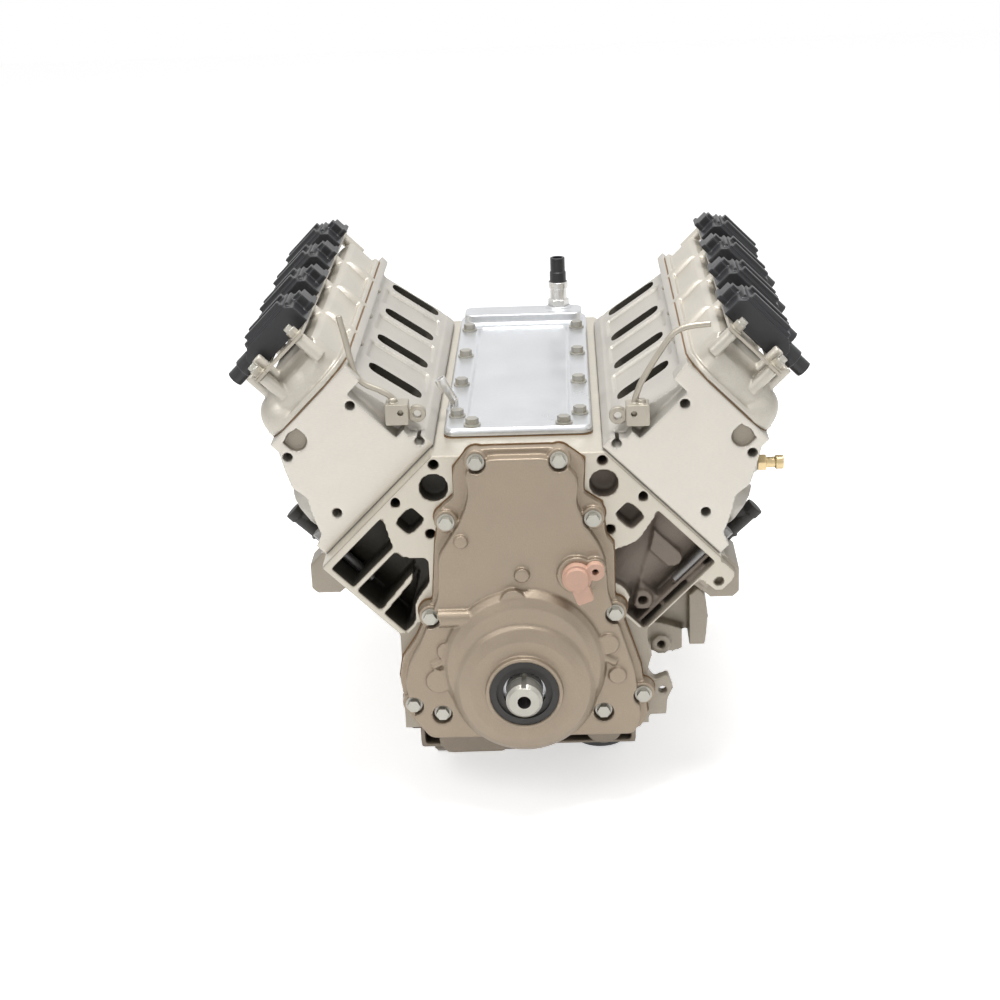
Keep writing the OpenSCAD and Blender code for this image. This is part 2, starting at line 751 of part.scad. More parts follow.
module oil_pump_housing() {
    color("silver") difference() {
        union() {
            rod_y(pump_body_r, pump_front, pump_back);
            for (s = [-1, 1]) translate([s * 46, 0, -20]) rod_y(9, pump_front, -7);
            translate([0, 0, -46]) box(-14, 14, pump_front, pump_back, -11, 0);
        }
        translate([0, 0, pump_eccentricity])
            rod_y(pump_rotor_r + running, pump_chamber_front, pump_chamber_back);
        rod_y(snout_d / 2 + 0.6, pump_front - 1, 1);
    }
}

module oil_pickup_tube() {
    y = -12.5;
    inlet = [-60, 290, -sump_depth + pan_wall + 18];
    // Down from the pump's left lug, under the first main cap and along the pan
    color("silver") {
        pipe([[-46, y, -29 - contact], [-46, y, -46.3], [-46, 1, -46.3], [-46, 40, -73], [-60, 70, -82],
            inlet + [0, 0, 20], inlet], 5.5);
        translate(inlet + [0, 0, -14]) rod_z(26, 0, 16);
    }
}

// Front cover

// The outline of the front cover: the narrow tower over the cam, and the wide foot on the pan rail
module cover_outline() {
    right = [[33, 254], [50, 252], [68, 238], [66, 203], [85, 190], [88, 156], [96, 146], [96, 90],
        [112, 40], [122, 8], [129, -48], [120, pan_rail_z]];
    left = [[-33, 254], [-50, 252], [-66, 232], [-66, 203], [-81, 190], [-88, 152], [-93, 90],
        [-112, 46], [-128, 22], [-132, 0], [-126, -40], [-108, pan_rail_z]];
    offset(-3) offset(3) {
        polygon(concat(right, [for (i = [len(left) - 1 : -1 : 0]) left[i]]));
        for (s = [-1, 1], p = front_bolts) translate([s * p[0], p[1]]) circle(13, $fn = 32);
        for (p = concat(low_front_bolts(-1), low_front_bolts(1))) translate(p) circle(12, $fn = 32);
    }
}

module cover_inner_outline() {
    intersection() {
        difference() {
            offset(-cover_wall - 7) cover_outline();
            for (s = [-1, 1], p = front_bolts) translate([s * p[0], p[1]]) circle(cover_post_r, $fn = 32);
            for (p = concat(low_front_bolts(-1), low_front_bolts(1)))
                translate(p) circle(cover_post_r, $fn = 32);
        }
        translate([-200, pan_rail_z + 6]) square([400, 400]);
    }
}

cover_flange = 12;
cam_boss = [59, 118];

module front_cover() {
    color("tan") difference() {
        union() {
            along_y(-cover_flange, -gasket) cover_outline();
            along_y(-cover_depth, -cover_flange + 0.1) offset(-7) cover_outline();
            intersection() {
                crank_dome();
                box(-100, 100, seal_face_y - 1, 0, pan_rail_z, 200);
            }
            for (s = [-1, 1], p = front_bolts)
                translate([s * p[0], 0, p[1]]) rod_y(12.4, bolt_seat_y, -gasket - 1);
            for (p = concat(low_front_bolts(-1), low_front_bolts(1)))
                translate([p[0], 0, p[1]]) rod_y(11.4, bolt_seat_y, -gasket - 1);
            cover_bosses();
        }
        along_y(-cover_depth + cover_wall, 0) cover_inner_outline();
        rod_y(pump_body_r + 2.5, -dome_reach + 4, 0);
        rod_y(seal_r, seal_face_y - 1, 0);
        for (s = [-1, 1], p = front_bolts)
            translate([s * p[0], 0, p[1]]) cover_bolt_hole();
        for (p = concat(low_front_bolts(-1), low_front_bolts(1)))
            translate([p[0], 0, p[1]]) cover_bolt_hole();
        translate([cam_boss[0], 0, cam_boss[1]]) rod_y(sensor_hole_r, -cover_depth - 8, 0);
    }
}
sensor_hole_r = 9;
bolt_seat_y = -cover_flange - 5;
counterbore_r = washer_r + 1.5;
cover_post_r = counterbore_r + 4;

// The dome over the oil pump, round the crankshaft axis, with the collar of the front seal
module crank_dome() {
    rotate([90, 0, 0]) rotate_extrude($fn = fine) polygon([
        [0, cover_depth - 3], [dome_r, cover_depth - 3], [dome_r - 4, dome_reach - 13],
        [dome_r - 11, dome_reach - 5], [dome_r - 23, dome_reach], [seal_r + 4, dome_reach],
        [seal_r + 4, -seal_face_y], [0, -seal_face_y]
    ]);
}

module cover_bolt_hole() {
    rod_y(bolt_hole_r, -30, 1);
    rod_y(counterbore_r, -60, bolt_seat_y);
}

// Round bosses and ribs of the front cover
module cover_bosses() {
    y = -cover_depth;
    translate([-60, 0, 160]) rod_y(7, y - 5, y + 1);
    translate([1, 0, 122]) rod_y(7.5, y - 6, y + 1);
    translate([-9, 0, 94]) rod_y(13, y - 9, y + 1);
    translate([88, 0, 42]) rod_y(11, y - 4, y + 1);
    translate([97, 0, 6]) rod_y(9, y - 4, y + 1);
    translate([-90, 0, 4]) rod_y(13, y - 4, y + 1);
    translate([-80, 0, 38]) rod_y(10, y - 4, y + 1);
    translate([cam_boss[0], 0, cam_boss[1]]) rod_y(20, y - 7, y + 1);
    for (s = [-1, 1]) translate([s * 66, 0, 60]) rotate([0, s * 24, 0]) box(-3, 3, y - 4, y + 1, -26, 40);
    for (s = [-1, 1]) translate([s * 78, 0, 20]) rotate([0, s * -62, 0]) box(-3, 3, y - 4, y + 1, -8, 22);
}

module cover_gaskets() {
    color("peru") {
        along_y(-gasket, 0) difference() {
            offset(1.2) cover_outline();
            intersection() {
                offset(-9) cover_outline();
                translate([-200, pan_rail_z - 2]) square([400, 400]);
            }
            for (s = [-1, 1], p = front_bolts) translate([s * p[0], p[1]]) circle(bolt_hole_r, $fn = fine);
            for (p = concat(low_front_bolts(-1), low_front_bolts(1)))
                translate(p) circle(bolt_hole_r, $fn = fine);
            translate([-200, pan_rail_z - 20]) square([400, 20]);
        }
        translate([0, 0, valley_height]) linear_extrude(gasket) difference() {
            round_rect(-valley_width / 2, valley_width / 2, valley_front, valley_rear, 10);
            round_rect(-52, 52, valley_front + 24, valley_rear - 14, 8);
            for (p = valley_bolts) translate(p) circle(bolt_hole_r, $fn = fine);
        }
        for (side = [-1, 1]) bank(side) translate([0, head_y(side), rail_n]) linear_extrude(gasket)
            difference() {
                cover_plan(0);
                cover_plan(9);
            }
        translate([0, 0, pan_rail_z - gasket]) linear_extrude(gasket) difference() {
            pan_plan(0);
            pan_plan(12);
        }
    }
}

module crank_seals() {
    color("black") {
        difference() {
            rod_y(seal_r, seal_face_y + 2, seal_face_y + 11);
            rod_y(seal_r - 7, seal_face_y + 1, seal_face_y + 5);
            rod_y(snout_d / 2 + 3.5, seal_face_y, seal_face_y + 12);
        }
        difference() {
            rod_y(flange_d / 2 + 12, rear_y + 1, rear_y + 9);
            rod_y(flange_d / 2 + 0.1, rear_y, rear_y + 10);
        }
    }
}

module cam_position_sensor() {
    y = -cover_depth - 7;
    color("rosybrown") {
        translate([cam_boss[0], 0, cam_boss[1]]) {
            difference() {
                union() {
                    rod_y(sensor_hole_r - 0.3, y - 2, -cover_depth + 8);
                    along_y(y - 9, y - contact) hull() {
                        circle(15, $fn = 32);
                        translate([17, 4]) circle(9.5, $fn = 32);
                    }
                    rod_y(12, y - 14, y - 8);
                    along_y(y - 13, y - 2) rotate(205) round_rect(8, 34, -9, 9, 4);
                }
                translate([17, 0, 4]) rod_y(bolt_hole_r, y - 10, y + 1);
            }
        }
    }
}

module rear_cover() {
    color("lightgray") difference() {
        along_y(rear_y, rear_y + 9) difference() {
            union() {
                circle(flange_d / 2 + 34, $fn = fine);
                translate([-100, pan_rail_z]) square([200, 60]);
            }
            translate([-300, pan_rail_z - 200]) square([600, 200]);
            circle(flange_d / 2 + 12, $fn = fine);
        }
        for (a = [40 : 50 : 320]) if (cos(a) > -0.4)
            rotate([0, a, 0]) translate([0, 0, flange_d / 2 + 24]) rod_y(bolt_hole_r, rear_y - 1, rear_y + 10);
    }
}

// Valley cover and what stands on it

module valley_cover() {
    z = valley_z;
    color("silver") difference() {
        union() {
            translate([0, 0, z]) linear_extrude(valley_wall)
                round_rect(-valley_width / 2, valley_width / 2, valley_front, valley_rear, 12);
            // Raised rim round the plate
            translate([0, 0, z]) linear_extrude(valley_wall + 3) difference() {
                round_rect(-valley_width / 2 + 2, valley_width / 2 - 2, valley_front + 2, valley_rear - 2, 11);
                round_rect(-valley_width / 2 + 24, valley_width / 2 - 24, valley_front + 22, valley_rear - 60, 9);
            }
            translate([0, 0, z]) linear_extrude(valley_wall + valley_step)
                round_rect(-valley_width / 2 + 6, valley_width / 2 - 6, valley_rear - 44, valley_rear - 4, 10);
            translate([sensor_x, sensor_y, z]) rod_z(15, 0, valley_wall + valley_step + 4);
            translate([vent_x, vent_y, z]) rod_z(9, 0, valley_wall + 5);
        }
        for (p = valley_bolts) translate([p[0], p[1], z - 1]) rod_z(bolt_hole_r, 0, 40);
    }
}

module oil_pressure_sensor() {
    base = valley_z + valley_wall + valley_step + 4 + contact;
    translate([sensor_x, sensor_y, base]) {
        color("silver") {
            rod_z(13, 0, 8, 6);
            rod_z(10.5, 7.9, 22);
            rod_z(12, 22, 30);
        }
        color("black") difference() {
            union() {
                rod_z(10, 30.05, 42);
                rod_z(9, 41.9, 60);
            }
            rod_z(6, 50, 61);
        }
    }
}

module vent_tube() {
    foot = [vent_x, vent_y, valley_z + valley_wall + 5 + contact];
    color("dimgray") difference() {
        union() {
            pipe([foot, foot + [0, 0, 9], foot + [-14, -2, 34]], 4.5);
            bar(foot + [-8, -1, 20], foot + [-14, -2, 34], 6);
        }
        bar(foot + [-8, -1, 20], foot + [-14.5, -2, 36], 3.6);
    }
}

// Oil pan

module pan_plan(inset) {
    round_rect(-skirt_half + inset, skirt_half - inset, pan_start_y + inset, pan_end_y - inset, 8);
}

// Side view of the pan in Y and depth, for its deep and its shallow side
module pan_side(start, grow) {
    polygon([
        [pan_start_y - grow + 6, pan_rail_z], [pan_start_y - grow + 10, -shallow_depth - grow],
        [start - grow - 14, -shallow_depth - grow - 4], [start - grow, -sump_depth + pan_wall - grow + 8],
        [start - grow + 10, -sump_depth + pan_wall - grow],
        [pan_end_y + grow - 60, -sump_depth + pan_wall - grow],
        [pan_end_y + grow - 14, -shallow_depth - grow], [pan_end_y + grow - 12, pan_rail_z]
    ]);
}

module pan_body(grow) {
    half = skirt_half - 18 + grow;
    intersection() {
        union() {
            rotate([90, 0, 90]) translate([0, 0, -half]) linear_extrude(half - 20 + grow)
                pan_side(sump_start, grow);
            rotate([90, 0, 90]) translate([0, 0, -30 - grow]) linear_extrude(half + 30 + grow)
                pan_side(sump_start + 90, grow);
        }
        along_y(-50, rear_y + 50) polygon([
            [-half, pan_rail_z + 1], [-half, -shallow_depth], [-half + 14, -sump_depth - 20],
            [half - 14, -sump_depth - 20], [half, -shallow_depth], [half, pan_rail_z + 1]
        ]);
    }
}

module oil_pan() {
    top = pan_rail_z - gasket;
    color("darkgray") difference() {
        union() {
            translate([0, 0, top - pan_flange]) linear_extrude(pan_flange) pan_plan(0);
            intersection() {
                pan_body(pan_wall);
                box(-300, 300, -50, rear_y + 50, -sump_depth, top - 1);
            }
            translate([filter_x, filter_y, -shallow_depth - 14]) rod_z(filter_r + 4, 0, 20);
            translate([drain_x, 0, drain_z]) rod_y(13, pan_end_y - 70, drain_y);
        }
        intersection() {
            pan_body(0);
            box(-300, 300, 0, rear_y, -sump_depth + pan_wall, top + 1);
        }
        translate([0, 0, top - pan_flange - 1]) linear_extrude(pan_flange + 2) pan_plan(22);
        translate([drain_x, 0, drain_z]) rod_y(7, pan_end_y - 100, rear_y);
    }
}

module oil_filter() {
    top = -shallow_depth - 14 - contact;
    color("black") translate([filter_x, filter_y, 0]) {
        rod_z(filter_r, top - 36, top);
        rod_z(filter_r - 4, top - 39, top - 35.9);
    }
}

module drain_plug() {
    color("gray") translate([drain_x, 0, drain_z]) {
        rod_y(6.9, drain_y - 12, drain_y + 0.1);
        rod_y(11, drain_y + contact, drain_y + 7, 6);
    }
}

// Cylinder heads

module head_profile() {
    polygon([
        [-114, deck_height + gasket], [-114, deck_height + 14], [intake_face_low, deck_height + 24],
        [intake_face_high, rail_n - 6], [intake_face_high, rail_n], [cover_outboard, rail_n],
        [cover_outboard, rail_n - 12], [15, rail_n - 30], [24, rail_n - 48], [22, rail_n - 66],
        [33, rail_n - 84], [42, deck_height + 20], [head_outboard, deck_height + 14],
        [head_outboard, deck_height + gasket]
    ]);
}

head_front_holes = [[-85, 91], [-105.5, 13.5], [1.5, 101], [12.5, 23]];

module head_ports() {
    for (k = [0 : cylinder_count - 1]) translate([0, bore_spacing * k, 0]) {
        intake_duct();
        // Bowls above the two valves and the chamber under them
        translate([-9, valve_shift, deck_height + 11]) rod_z(16, 0, 26);
        translate([-9, -valve_shift, deck_height + 11]) rod_z(13, 0, 26);
        translate([-4, 0, 0]) rod_z(bore / 2 - 4, deck_height, deck_height + 12);
        translate([-6, -valve_shift, deck_height + 33]) rotate([0, 80, 0]) rod_z(exhaust_r, 0, 80);
        for (s = [-1, 1]) {
            translate([lifter_v, s * valve_shift, 0]) rod_z(6.5, deck_height, rail_n);
            translate([valve_foot_v, s * valve_shift, valve_foot_n]) rotate([0, -valve_tilt, 0])
                rod_z(4.1, 0, valve_length);
            translate([valve_foot_v, s * valve_shift, valve_foot_n]) rotate([0, -valve_tilt, 0])
                rod_z(17.5, valve_length - 46, valve_length + 20);
        }
        plug_frame() {
            rod_z(7 + contact, -6, plug_seat + 1);
            rod_z(13, plug_seat, plug_seat + 60);
        }
    }
}

// The rectangular passage from the intake face down to the intake valve
module intake_duct() {
    low = deck_height + 62 - port_height / 2;
    high = low + port_height;
    along_y(port_shift - port_width / 2, port_shift + port_width / 2)
        polygon([[-130, low], [-130, high], [-100, high], [-72, high - 22], [-72, low - 12], [-100, low]]);
    along_y(port_shift - port_width - 4, port_shift - 2)
        polygon([[-78, high - 18], [-30, deck_height + 38], [-10, deck_height + 32],
            [-10, deck_height + 14], [-78, low - 11]]);
}

module cylinder_head(side) {
    y0 = head_y(side);
    color("gainsboro") bank(side) difference() {
        union() {
            difference() {
                along_y(y0, y0 + head_length) head_profile();
                // The valley side of the front is set back behind the machined face
                box(-130, -92, y0 - 1, y0 + 22, deck_height + 34, rail_n - 22);
            }
            for (k = [0 : cylinder_count - 1])
                translate([-6, bore_y(side, k) - valve_shift, deck_height + 33])
                    rotate([0, 80, 0]) rod_z(exhaust_r + 8, 20, 52);
        }
        translate([0, bore_y(side, 0), 0]) head_ports();
        // Rocker box
        box(cover_inboard + 9, -9, y0 + 9, y0 + head_length - 9, rail_n - 10, rail_n + 1);
        for (p = head_front_holes)
            translate([p[0], 0, deck_height + p[1]]) rod_y(accessory_hole_r, y0 - 1, y0 + 25);
        translate([-18, 0, rail_n - 17]) along_y(y0 - 1, y0 + 7) {
            circle(11, $fn = fine);
            translate([-11, 0]) square([22, 9]);
        }
        head_bolt_pattern(side, -58) {
            rod_z(6.2, deck_height, rail_n);
            rod_z(head_bolt_r + 1, rail_n - 10, rail_n + 1);
        }
        head_bolt_pattern(side, 46) {
            rod_z(6.2, deck_height, rail_n);
            rod_z(head_bolt_r + 3, deck_height + outer_bolt_seat, rail_n);
        }
    }
}

// Children at each head bolt of one row
module head_bolt_pattern(side, v) {
    for (k = [0 : cylinder_count])
        translate([v, bore_y(side, 0) + (k - 0.5) * bore_spacing, 0]) children();
}
head_bolt_r = 7.6;
outer_bolt_seat = 14;

module head_bolt_holes(n0, n1) {
    for (side = [-1, 1], v = [-58, 46]) bank(side) head_bolt_pattern(side, v) rod_z(5 + contact, n0, n1);
}

module cylinder_head_left() { cylinder_head(-1); }
module cylinder_head_right() { cylinder_head(1); }

module head_gaskets() {
    color("dimgray") for (side = [-1, 1]) bank(side) difference() {
        box(-112, head_outboard - 1, head_y(side) + 2, head_y(side) + head_length - 2,
            deck_height, deck_height + gasket);
        for (k = [0 : cylinder_count - 1]) translate([0, bore_y(side, k), 0]) {
            rod_z(bore / 2 + 0.5, deck_height - 1, deck_height + 3);
            for (s = [-1, 1]) translate([lifter_v, s * valve_shift, 0])
                rod_z(lifter_r, deck_height - 1, deck_height + 3);
        }
        for (v = [-58, 46]) head_bolt_pattern(side, v) rod_z(6.2, deck_height - 1, deck_height + 3);
    }
}

module head_bolts() {
    color("dimgray") for (side = [-1, 1]) bank(side) {
        head_bolt_pattern(side, -58) head_bolt(rail_n - 10);
        head_bolt_pattern(side, 46) head_bolt(deck_height + outer_bolt_seat);
    }
}

module head_bolt(seat) {
    rod_z(5, deck_height - 55, seat + 1);
    rod_z(head_bolt_r, seat + contact, seat + 9, 6);
}

// Valvetrain

module valves() {
    color("silver") for (side = [-1, 1]) bank(side) for (k = [0 : cylinder_count - 1], s = [-1, 1])
        translate([valve_foot_v, bore_y(side, k) + s * valve_shift, valve_foot_n])
            rotate([0, -valve_tilt, 0]) {
                rod_z(4, -4, valve_length);
                rod_z(s > 0 ? 18 : 14, -5, -3.5);
            }
}

module valve_springs() {
    color("steelblue") for (side = [-1, 1]) bank(side) for (k = [0 : cylinder_count - 1], s = [-1, 1])
        translate([valve_foot_v, bore_y(side, k) + s * valve_shift, valve_foot_n])
            rotate([0, -valve_tilt, 0]) spring(valve_length - 46 + contact, valve_length - 8);
}

// A valve spring drawn as its coils, and the retainer that closes it
module spring(n0, n1) {
    turns = 6;
    rise = (n1 - n0 - 4) / turns;
    difference() {
        union() {
            rod_z(12, n0, n1 - 4);
            for (i = [0 : turns - 1]) rod_z(15, n0 + i * rise, n0 + i * rise + rise * 0.62);
            rod_z(13, n1 - 4, n1);
        }
        rod_z(4 + contact, n0 - 1, n1 + 1);
        rod_z(9.5, n0 - 1, n1 - 4);
    }
}

module valve_lifters() {
    color("gray") for (side = [-1, 1]) bank(side) for (k = [0 : cylinder_count - 1], s = [-1, 1])
        translate([lifter_v, bore_y(side, k) + s * valve_shift, 0]) difference() {
            rod_z(lifter_r, lifter_n + peak_r + 0.3, lifter_top);
            rod_z(4.5, lifter_top - 6, lifter_top + 1);
        }
}

module pushrods() {
    color("silver") for (side = [-1, 1]) bank(side) for (k = [0 : cylinder_count - 1], s = [-1, 1])
        translate([lifter_v, bore_y(side, k) + s * valve_shift, 0])
            rod_z(4, lifter_top - 6 + contact, rocker_n - 9 - contact);
}

module rocker_arms() {
    reach = valve_tip_v - lifter_v;
    tip = valve_tip_n + 4 * sin(valve_tilt) + 0.1 - rocker_n;
    color("darkgray") for (side = [-1, 1]) bank(side) for (k = [0 : cylinder_count - 1], s = [-1, 1])
        translate([lifter_v, bore_y(side, k) + s * valve_shift, rocker_n]) {
            difference() {
                union() {
                    along_y(-7, 7) polygon([[-7, -9], [-7, 2], [reach * 0.4, 10], [reach * 0.62, 10],
                        [reach + 5, tip + 6], [reach + 5, tip], [reach - 6, tip], [reach * 0.6, -5], [reach * 0.35, -5], [7, -9]]);
                }
                translate([reach * 0.5, 0, 2.5]) rod_y(5, -8, 8);
            }
            translate([reach * 0.5, 0, 2.5]) rod_y(5 - running, -9, 9);
            // Pedestal beside the arm
            translate([reach * 0.5, 0, 0]) for (e = [-1, 1])
                box(-5, 5, e > 0 ? 9 + contact : -13, e > 0 ? 13 : -9 - contact,
                    rail_n - 10 - rocker_n + contact, 7);
        }
}

// Valve covers

module cover_plan(inset) {
    round_rect(cover_inboard + inset, cover_outboard - inset, inset, head_length - inset, 34 - inset);
}

module dome_section(shrink) {
    offset(-shrink) polygon([
        [cover_inboard + 4, rail_n - 20], [cover_inboard + 4, cover_top_n - 12],
        [cover_inboard + 8, cover_top_n - 4], [cover_inboard + 16, cover_top_n], [-52, cover_top_n],
        [-38, cover_top_n - 5], [-20, cover_top_n - 20], [-6, cover_top_n - 36], [-2, rail_n - 20]
    ]);
}

module dome_side(shrink) {
    offset(-shrink) polygon([
        [4, rail_n - 20], [4, rail_n + 16], [12, cover_top_n - 16], [26, cover_top_n - 4],
        [42, cover_top_n], [head_length - 42, cover_top_n], [head_length - 26, cover_top_n - 4],
        [head_length - 12, cover_top_n - 16], [head_length - 4, rail_n + 16],
        [head_length - 4, rail_n - 20]
    ]);
}

module cover_dome(shrink) {
    intersection() {
        along_y(0, head_length) dome_section(shrink);
        translate([cover_inboard - 10, 0, 0]) rotate([90, 0, 90]) linear_extrude(140) dome_side(shrink);
        translate([0, 0, rail_n - 5]) linear_extrude(80) cover_plan(5 + shrink);
    }
}

module valve_cover(side) {
    color("silver") bank(side) translate([0, head_y(side), 0]) {
        difference() {
            union() {
                translate([0, 0, cover_base_n]) linear_extrude(flange_lip) cover_plan(0);
                intersection() {
                    cover_dome(0);
                    box(-200, 100, -10, 600, cover_base_n + 1, 600);
                }
                for (k = [0 : cylinder_count], v = [-100, -44])
                    translate([v, coil_post_y(side, k), cover_top_n - 8]) rod_z(7, 0, 14);
            }
            cover_dome(rocker_cover_wall);
            for (k = [0 : cylinder_count], v = [-100, -44])
                translate([v, coil_post_y(side, k), cover_top_n - 2]) rod_z(3, 0, 20);
        }
        // Breather stub
        translate([-72, bore_y(side, cylinder_count - 1) - head_y(side) + coil_width / 2 + 10, 0]) difference() {
            rod_z(8, cover_top_n - 5, cover_top_n + 22);
            rod_z(5, cover_top_n, cover_top_n + 23);
        }
    }
}

function coil_post_y(side, k) = bore_y(side, 0) - head_y(side) + (k - 0.5) * bore_spacing;

module valve_cover_left() { valve_cover(-1); }
module valve_cover_right() { valve_cover(1); }

// Ignition

module ignition_coils() {
    color("black") for (side = [-1, 1]) bank(side) for (k = [0 : cylinder_count - 1])
        translate([coil_v, bore_y(side, k), coil_base_n + 3 + 3 * contact]) coil();
}

module coil() {
    half = coil_width / 2;
    along_y(-half, half) polygon([
        [0, 0], [0, coil_height - 6], [6, coil_height], [coil_length - 10, coil_height],
        [coil_length, coil_height - 8], [coil_length, 3], [coil_length - 3, 0]
    ]);
    for (y = [-half + 6, 0, half - 12]) box(8, coil_length - 12, y, y + 6, coil_height - 1, coil_height + 4);
    translate([coil_length - 1, -half + 16, 12]) rotate([0, 90, 0]) rod_z(tower_r, 0, 30);
    translate([coil_length - 1, -half + 16, 12]) rotate([0, 90, 0]) rod_z(tower_r + 2, 0, 8);
    box(-10, 1, -4, 20, 6, 20);
}

module coil_brackets() {
    color("silver") for (side = [-1, 1]) bank(side) {
        difference() {
            union() {
                translate([0, 0, coil_base_n + contact]) linear_extrude(3) bracket_plan(side);
            }
            for (k = [0 : cylinder_count], v = [-100, -44])
                translate([v, head_y(side) + coil_post_y(side, k), coil_base_n]) rod_z(3.4, -1, 10);
        }
        for (k = [0 : cylinder_count], v = [-100, -44])
            translate([v, head_y(side) + coil_post_y(side, k), coil_base_n + 3 + 2 * contact]) {
                rod_z(8, 0, 2);
                rod_z(6, 1.9, 8, 6);
                rod_z(2.9, -9, 0.1);
            }
    }
}

module bracket_plan(side) {
    y0 = bore_y(side, 0) - bore_spacing / 2 - 9;
    y1 = y0 + cylinder_count * bore_spacing + 18;
    for (v = [-108, -52]) translate([v, y0]) square([16, y1 - y0]);
    for (k = [0 : cylinder_count]) translate([-108, bore_y(side, 0) + (k - 0.5) * bore_spacing - 8])
        square([72, 16]);
}

module spark_plugs() {
    color("white") for (side = [-1, 1]) bank(side) for (k = [0 : cylinder_count - 1])
        translate([0, bore_y(side, k), 0]) plug_frame() plug();
}

// Frame of a spark plug: +Z runs from the chamber out through the head
module plug_frame() {
    translate([19, 10, deck_height + 8]) rotate([0, 62, 0]) children();
}
plug_seat = 26;

// A spark plug along +Z: thread in the head, hexagon on its seat, insulator outside
module plug() {
    rod_z(7, 0, plug_seat + 0.1);
    rod_z(9, plug_seat + contact, plug_seat + 9, 6);
    rod_z(5, plug_seat + 8.9, plug_seat + 24);
}

module spark_plug_boots() {
    color("black") for (side = [-1, 1]) bank(side) for (k = [0 : cylinder_count - 1])
        translate([0, bore_y(side, k), 0]) difference() {
            union() {
                plug_frame() rod_z(8, plug_seat + 14, plug_seat + 32);
                translate([deck_outboard + 6, 10, 0]) {
                    rod_z(8.5, deck_height + 20, deck_height + 62);
                    rod_z(10, deck_height + 62, deck_height + 72);
                }
            }
            plug_frame() rod_z(5 + contact, plug_seat + 10, plug_seat + 24 + contact);
        }
}

// Coolant vent pipes and sensors

vent_block = [123, 0, 279];

module coolant_vent_pipes() {
    color("silver") {
        vent_pipe(-1, [[-122, 0, 286], [-126, 0, 296], [-134, 0, 306], [-154, 0, 326], [-176, 0, 383]]);
        vent_pipe(1, [[120, 0, 286], [122, 0, 300], [128, 0, 316], [154, 0, 361], [165, 0, 371], [196, 0, 374]]);
    }
}

module vent_pipe(side, route) {
    y1 = head_y(side) + 22 - contact;
    translate([0, y1 - 11, 0]) {
        difference() {
            translate([side * vent_block[0], 0, vent_block[2]]) box(-12, 12, -11, 11, -11, 11);
            translate([side * vent_block[0], 0, vent_block[2]]) rod_y(3, -12, -4);
        }
        translate([side * 103, 0, 275]) difference() {
            rod_y(9, 3, 11);
            rod_y(4.2, 2, 12);
        }
        pipe(route, 3);
    }
}

module coolant_temp_sensor() {
    y = head_y(1) + 32;
    color("gold") bank(1) translate([16, y, rail_n - 30 - 6]) rotate([0, 90, 0]) {
        rod_z(9, 6, 16, 6);
        rod_z(6, 15.9, 30);
        rod_z(7.5, 29, 36);
    }
}

module cover_bolts() {
    color("silver") {
        for (s = [-1, 1], p = front_bolts) front_bolt(s * p[0], bolt_seat_y - contact, p[1], 26);
        for (p = concat(low_front_bolts(-1), low_front_bolts(1)))
            front_bolt(p[0], bolt_seat_y - contact, p[1], 26);
        for (p = valley_bolts) translate([p[0], p[1], valley_z + valley_wall + 3 + contact]) bolt(20);
    }
}

engine_block();
cylinder_liners();
main_bearing_caps();
main_bearings();
cam_bearings();
cam_retainer_plate();
crankshaft();
crank_sprocket();
oil_pump_inner_rotor();
oil_pump_outer_rotor();
oil_pump_housing();
oil_pickup_tube();
camshaft();
cam_sprocket();
timing_chain();
piston(1, 0);  // piston_1
piston(-1, 0);  // piston_2
piston(1, 1);  // piston_3
piston(-1, 1);  // piston_4
piston(1, 2);  // piston_5
piston(-1, 2);  // piston_6
piston(1, 3);  // piston_7
piston(-1, 3);  // piston_8
connecting_rod(1, 0);  // connecting_rod_1
connecting_rod(-1, 0);  // connecting_rod_2
connecting_rod(1, 1);  // connecting_rod_3
connecting_rod(-1, 1);  // connecting_rod_4
connecting_rod(1, 2);  // connecting_rod_5
connecting_rod(-1, 2);  // connecting_rod_6
connecting_rod(1, 3);  // connecting_rod_7
connecting_rod(-1, 3);  // connecting_rod_8
front_cover();
cover_gaskets();
crank_seals();
cam_position_sensor();
rear_cover();
valley_cover();
oil_pressure_sensor();
vent_tube();
oil_pan();
oil_filter();
drain_plug();
cylinder_head_left();
cylinder_head_right();
head_gaskets();
head_bolts();
valve_cover_left();
valve_cover_right();
ignition_coils();
coil_brackets();
spark_plugs();
spark_plug_boots();
coolant_vent_pipes();
coolant_temp_sensor();
cover_bolts();
valve_lifters();
pushrods();
rocker_arms();
valves();
valve_springs();
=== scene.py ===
import json
import math

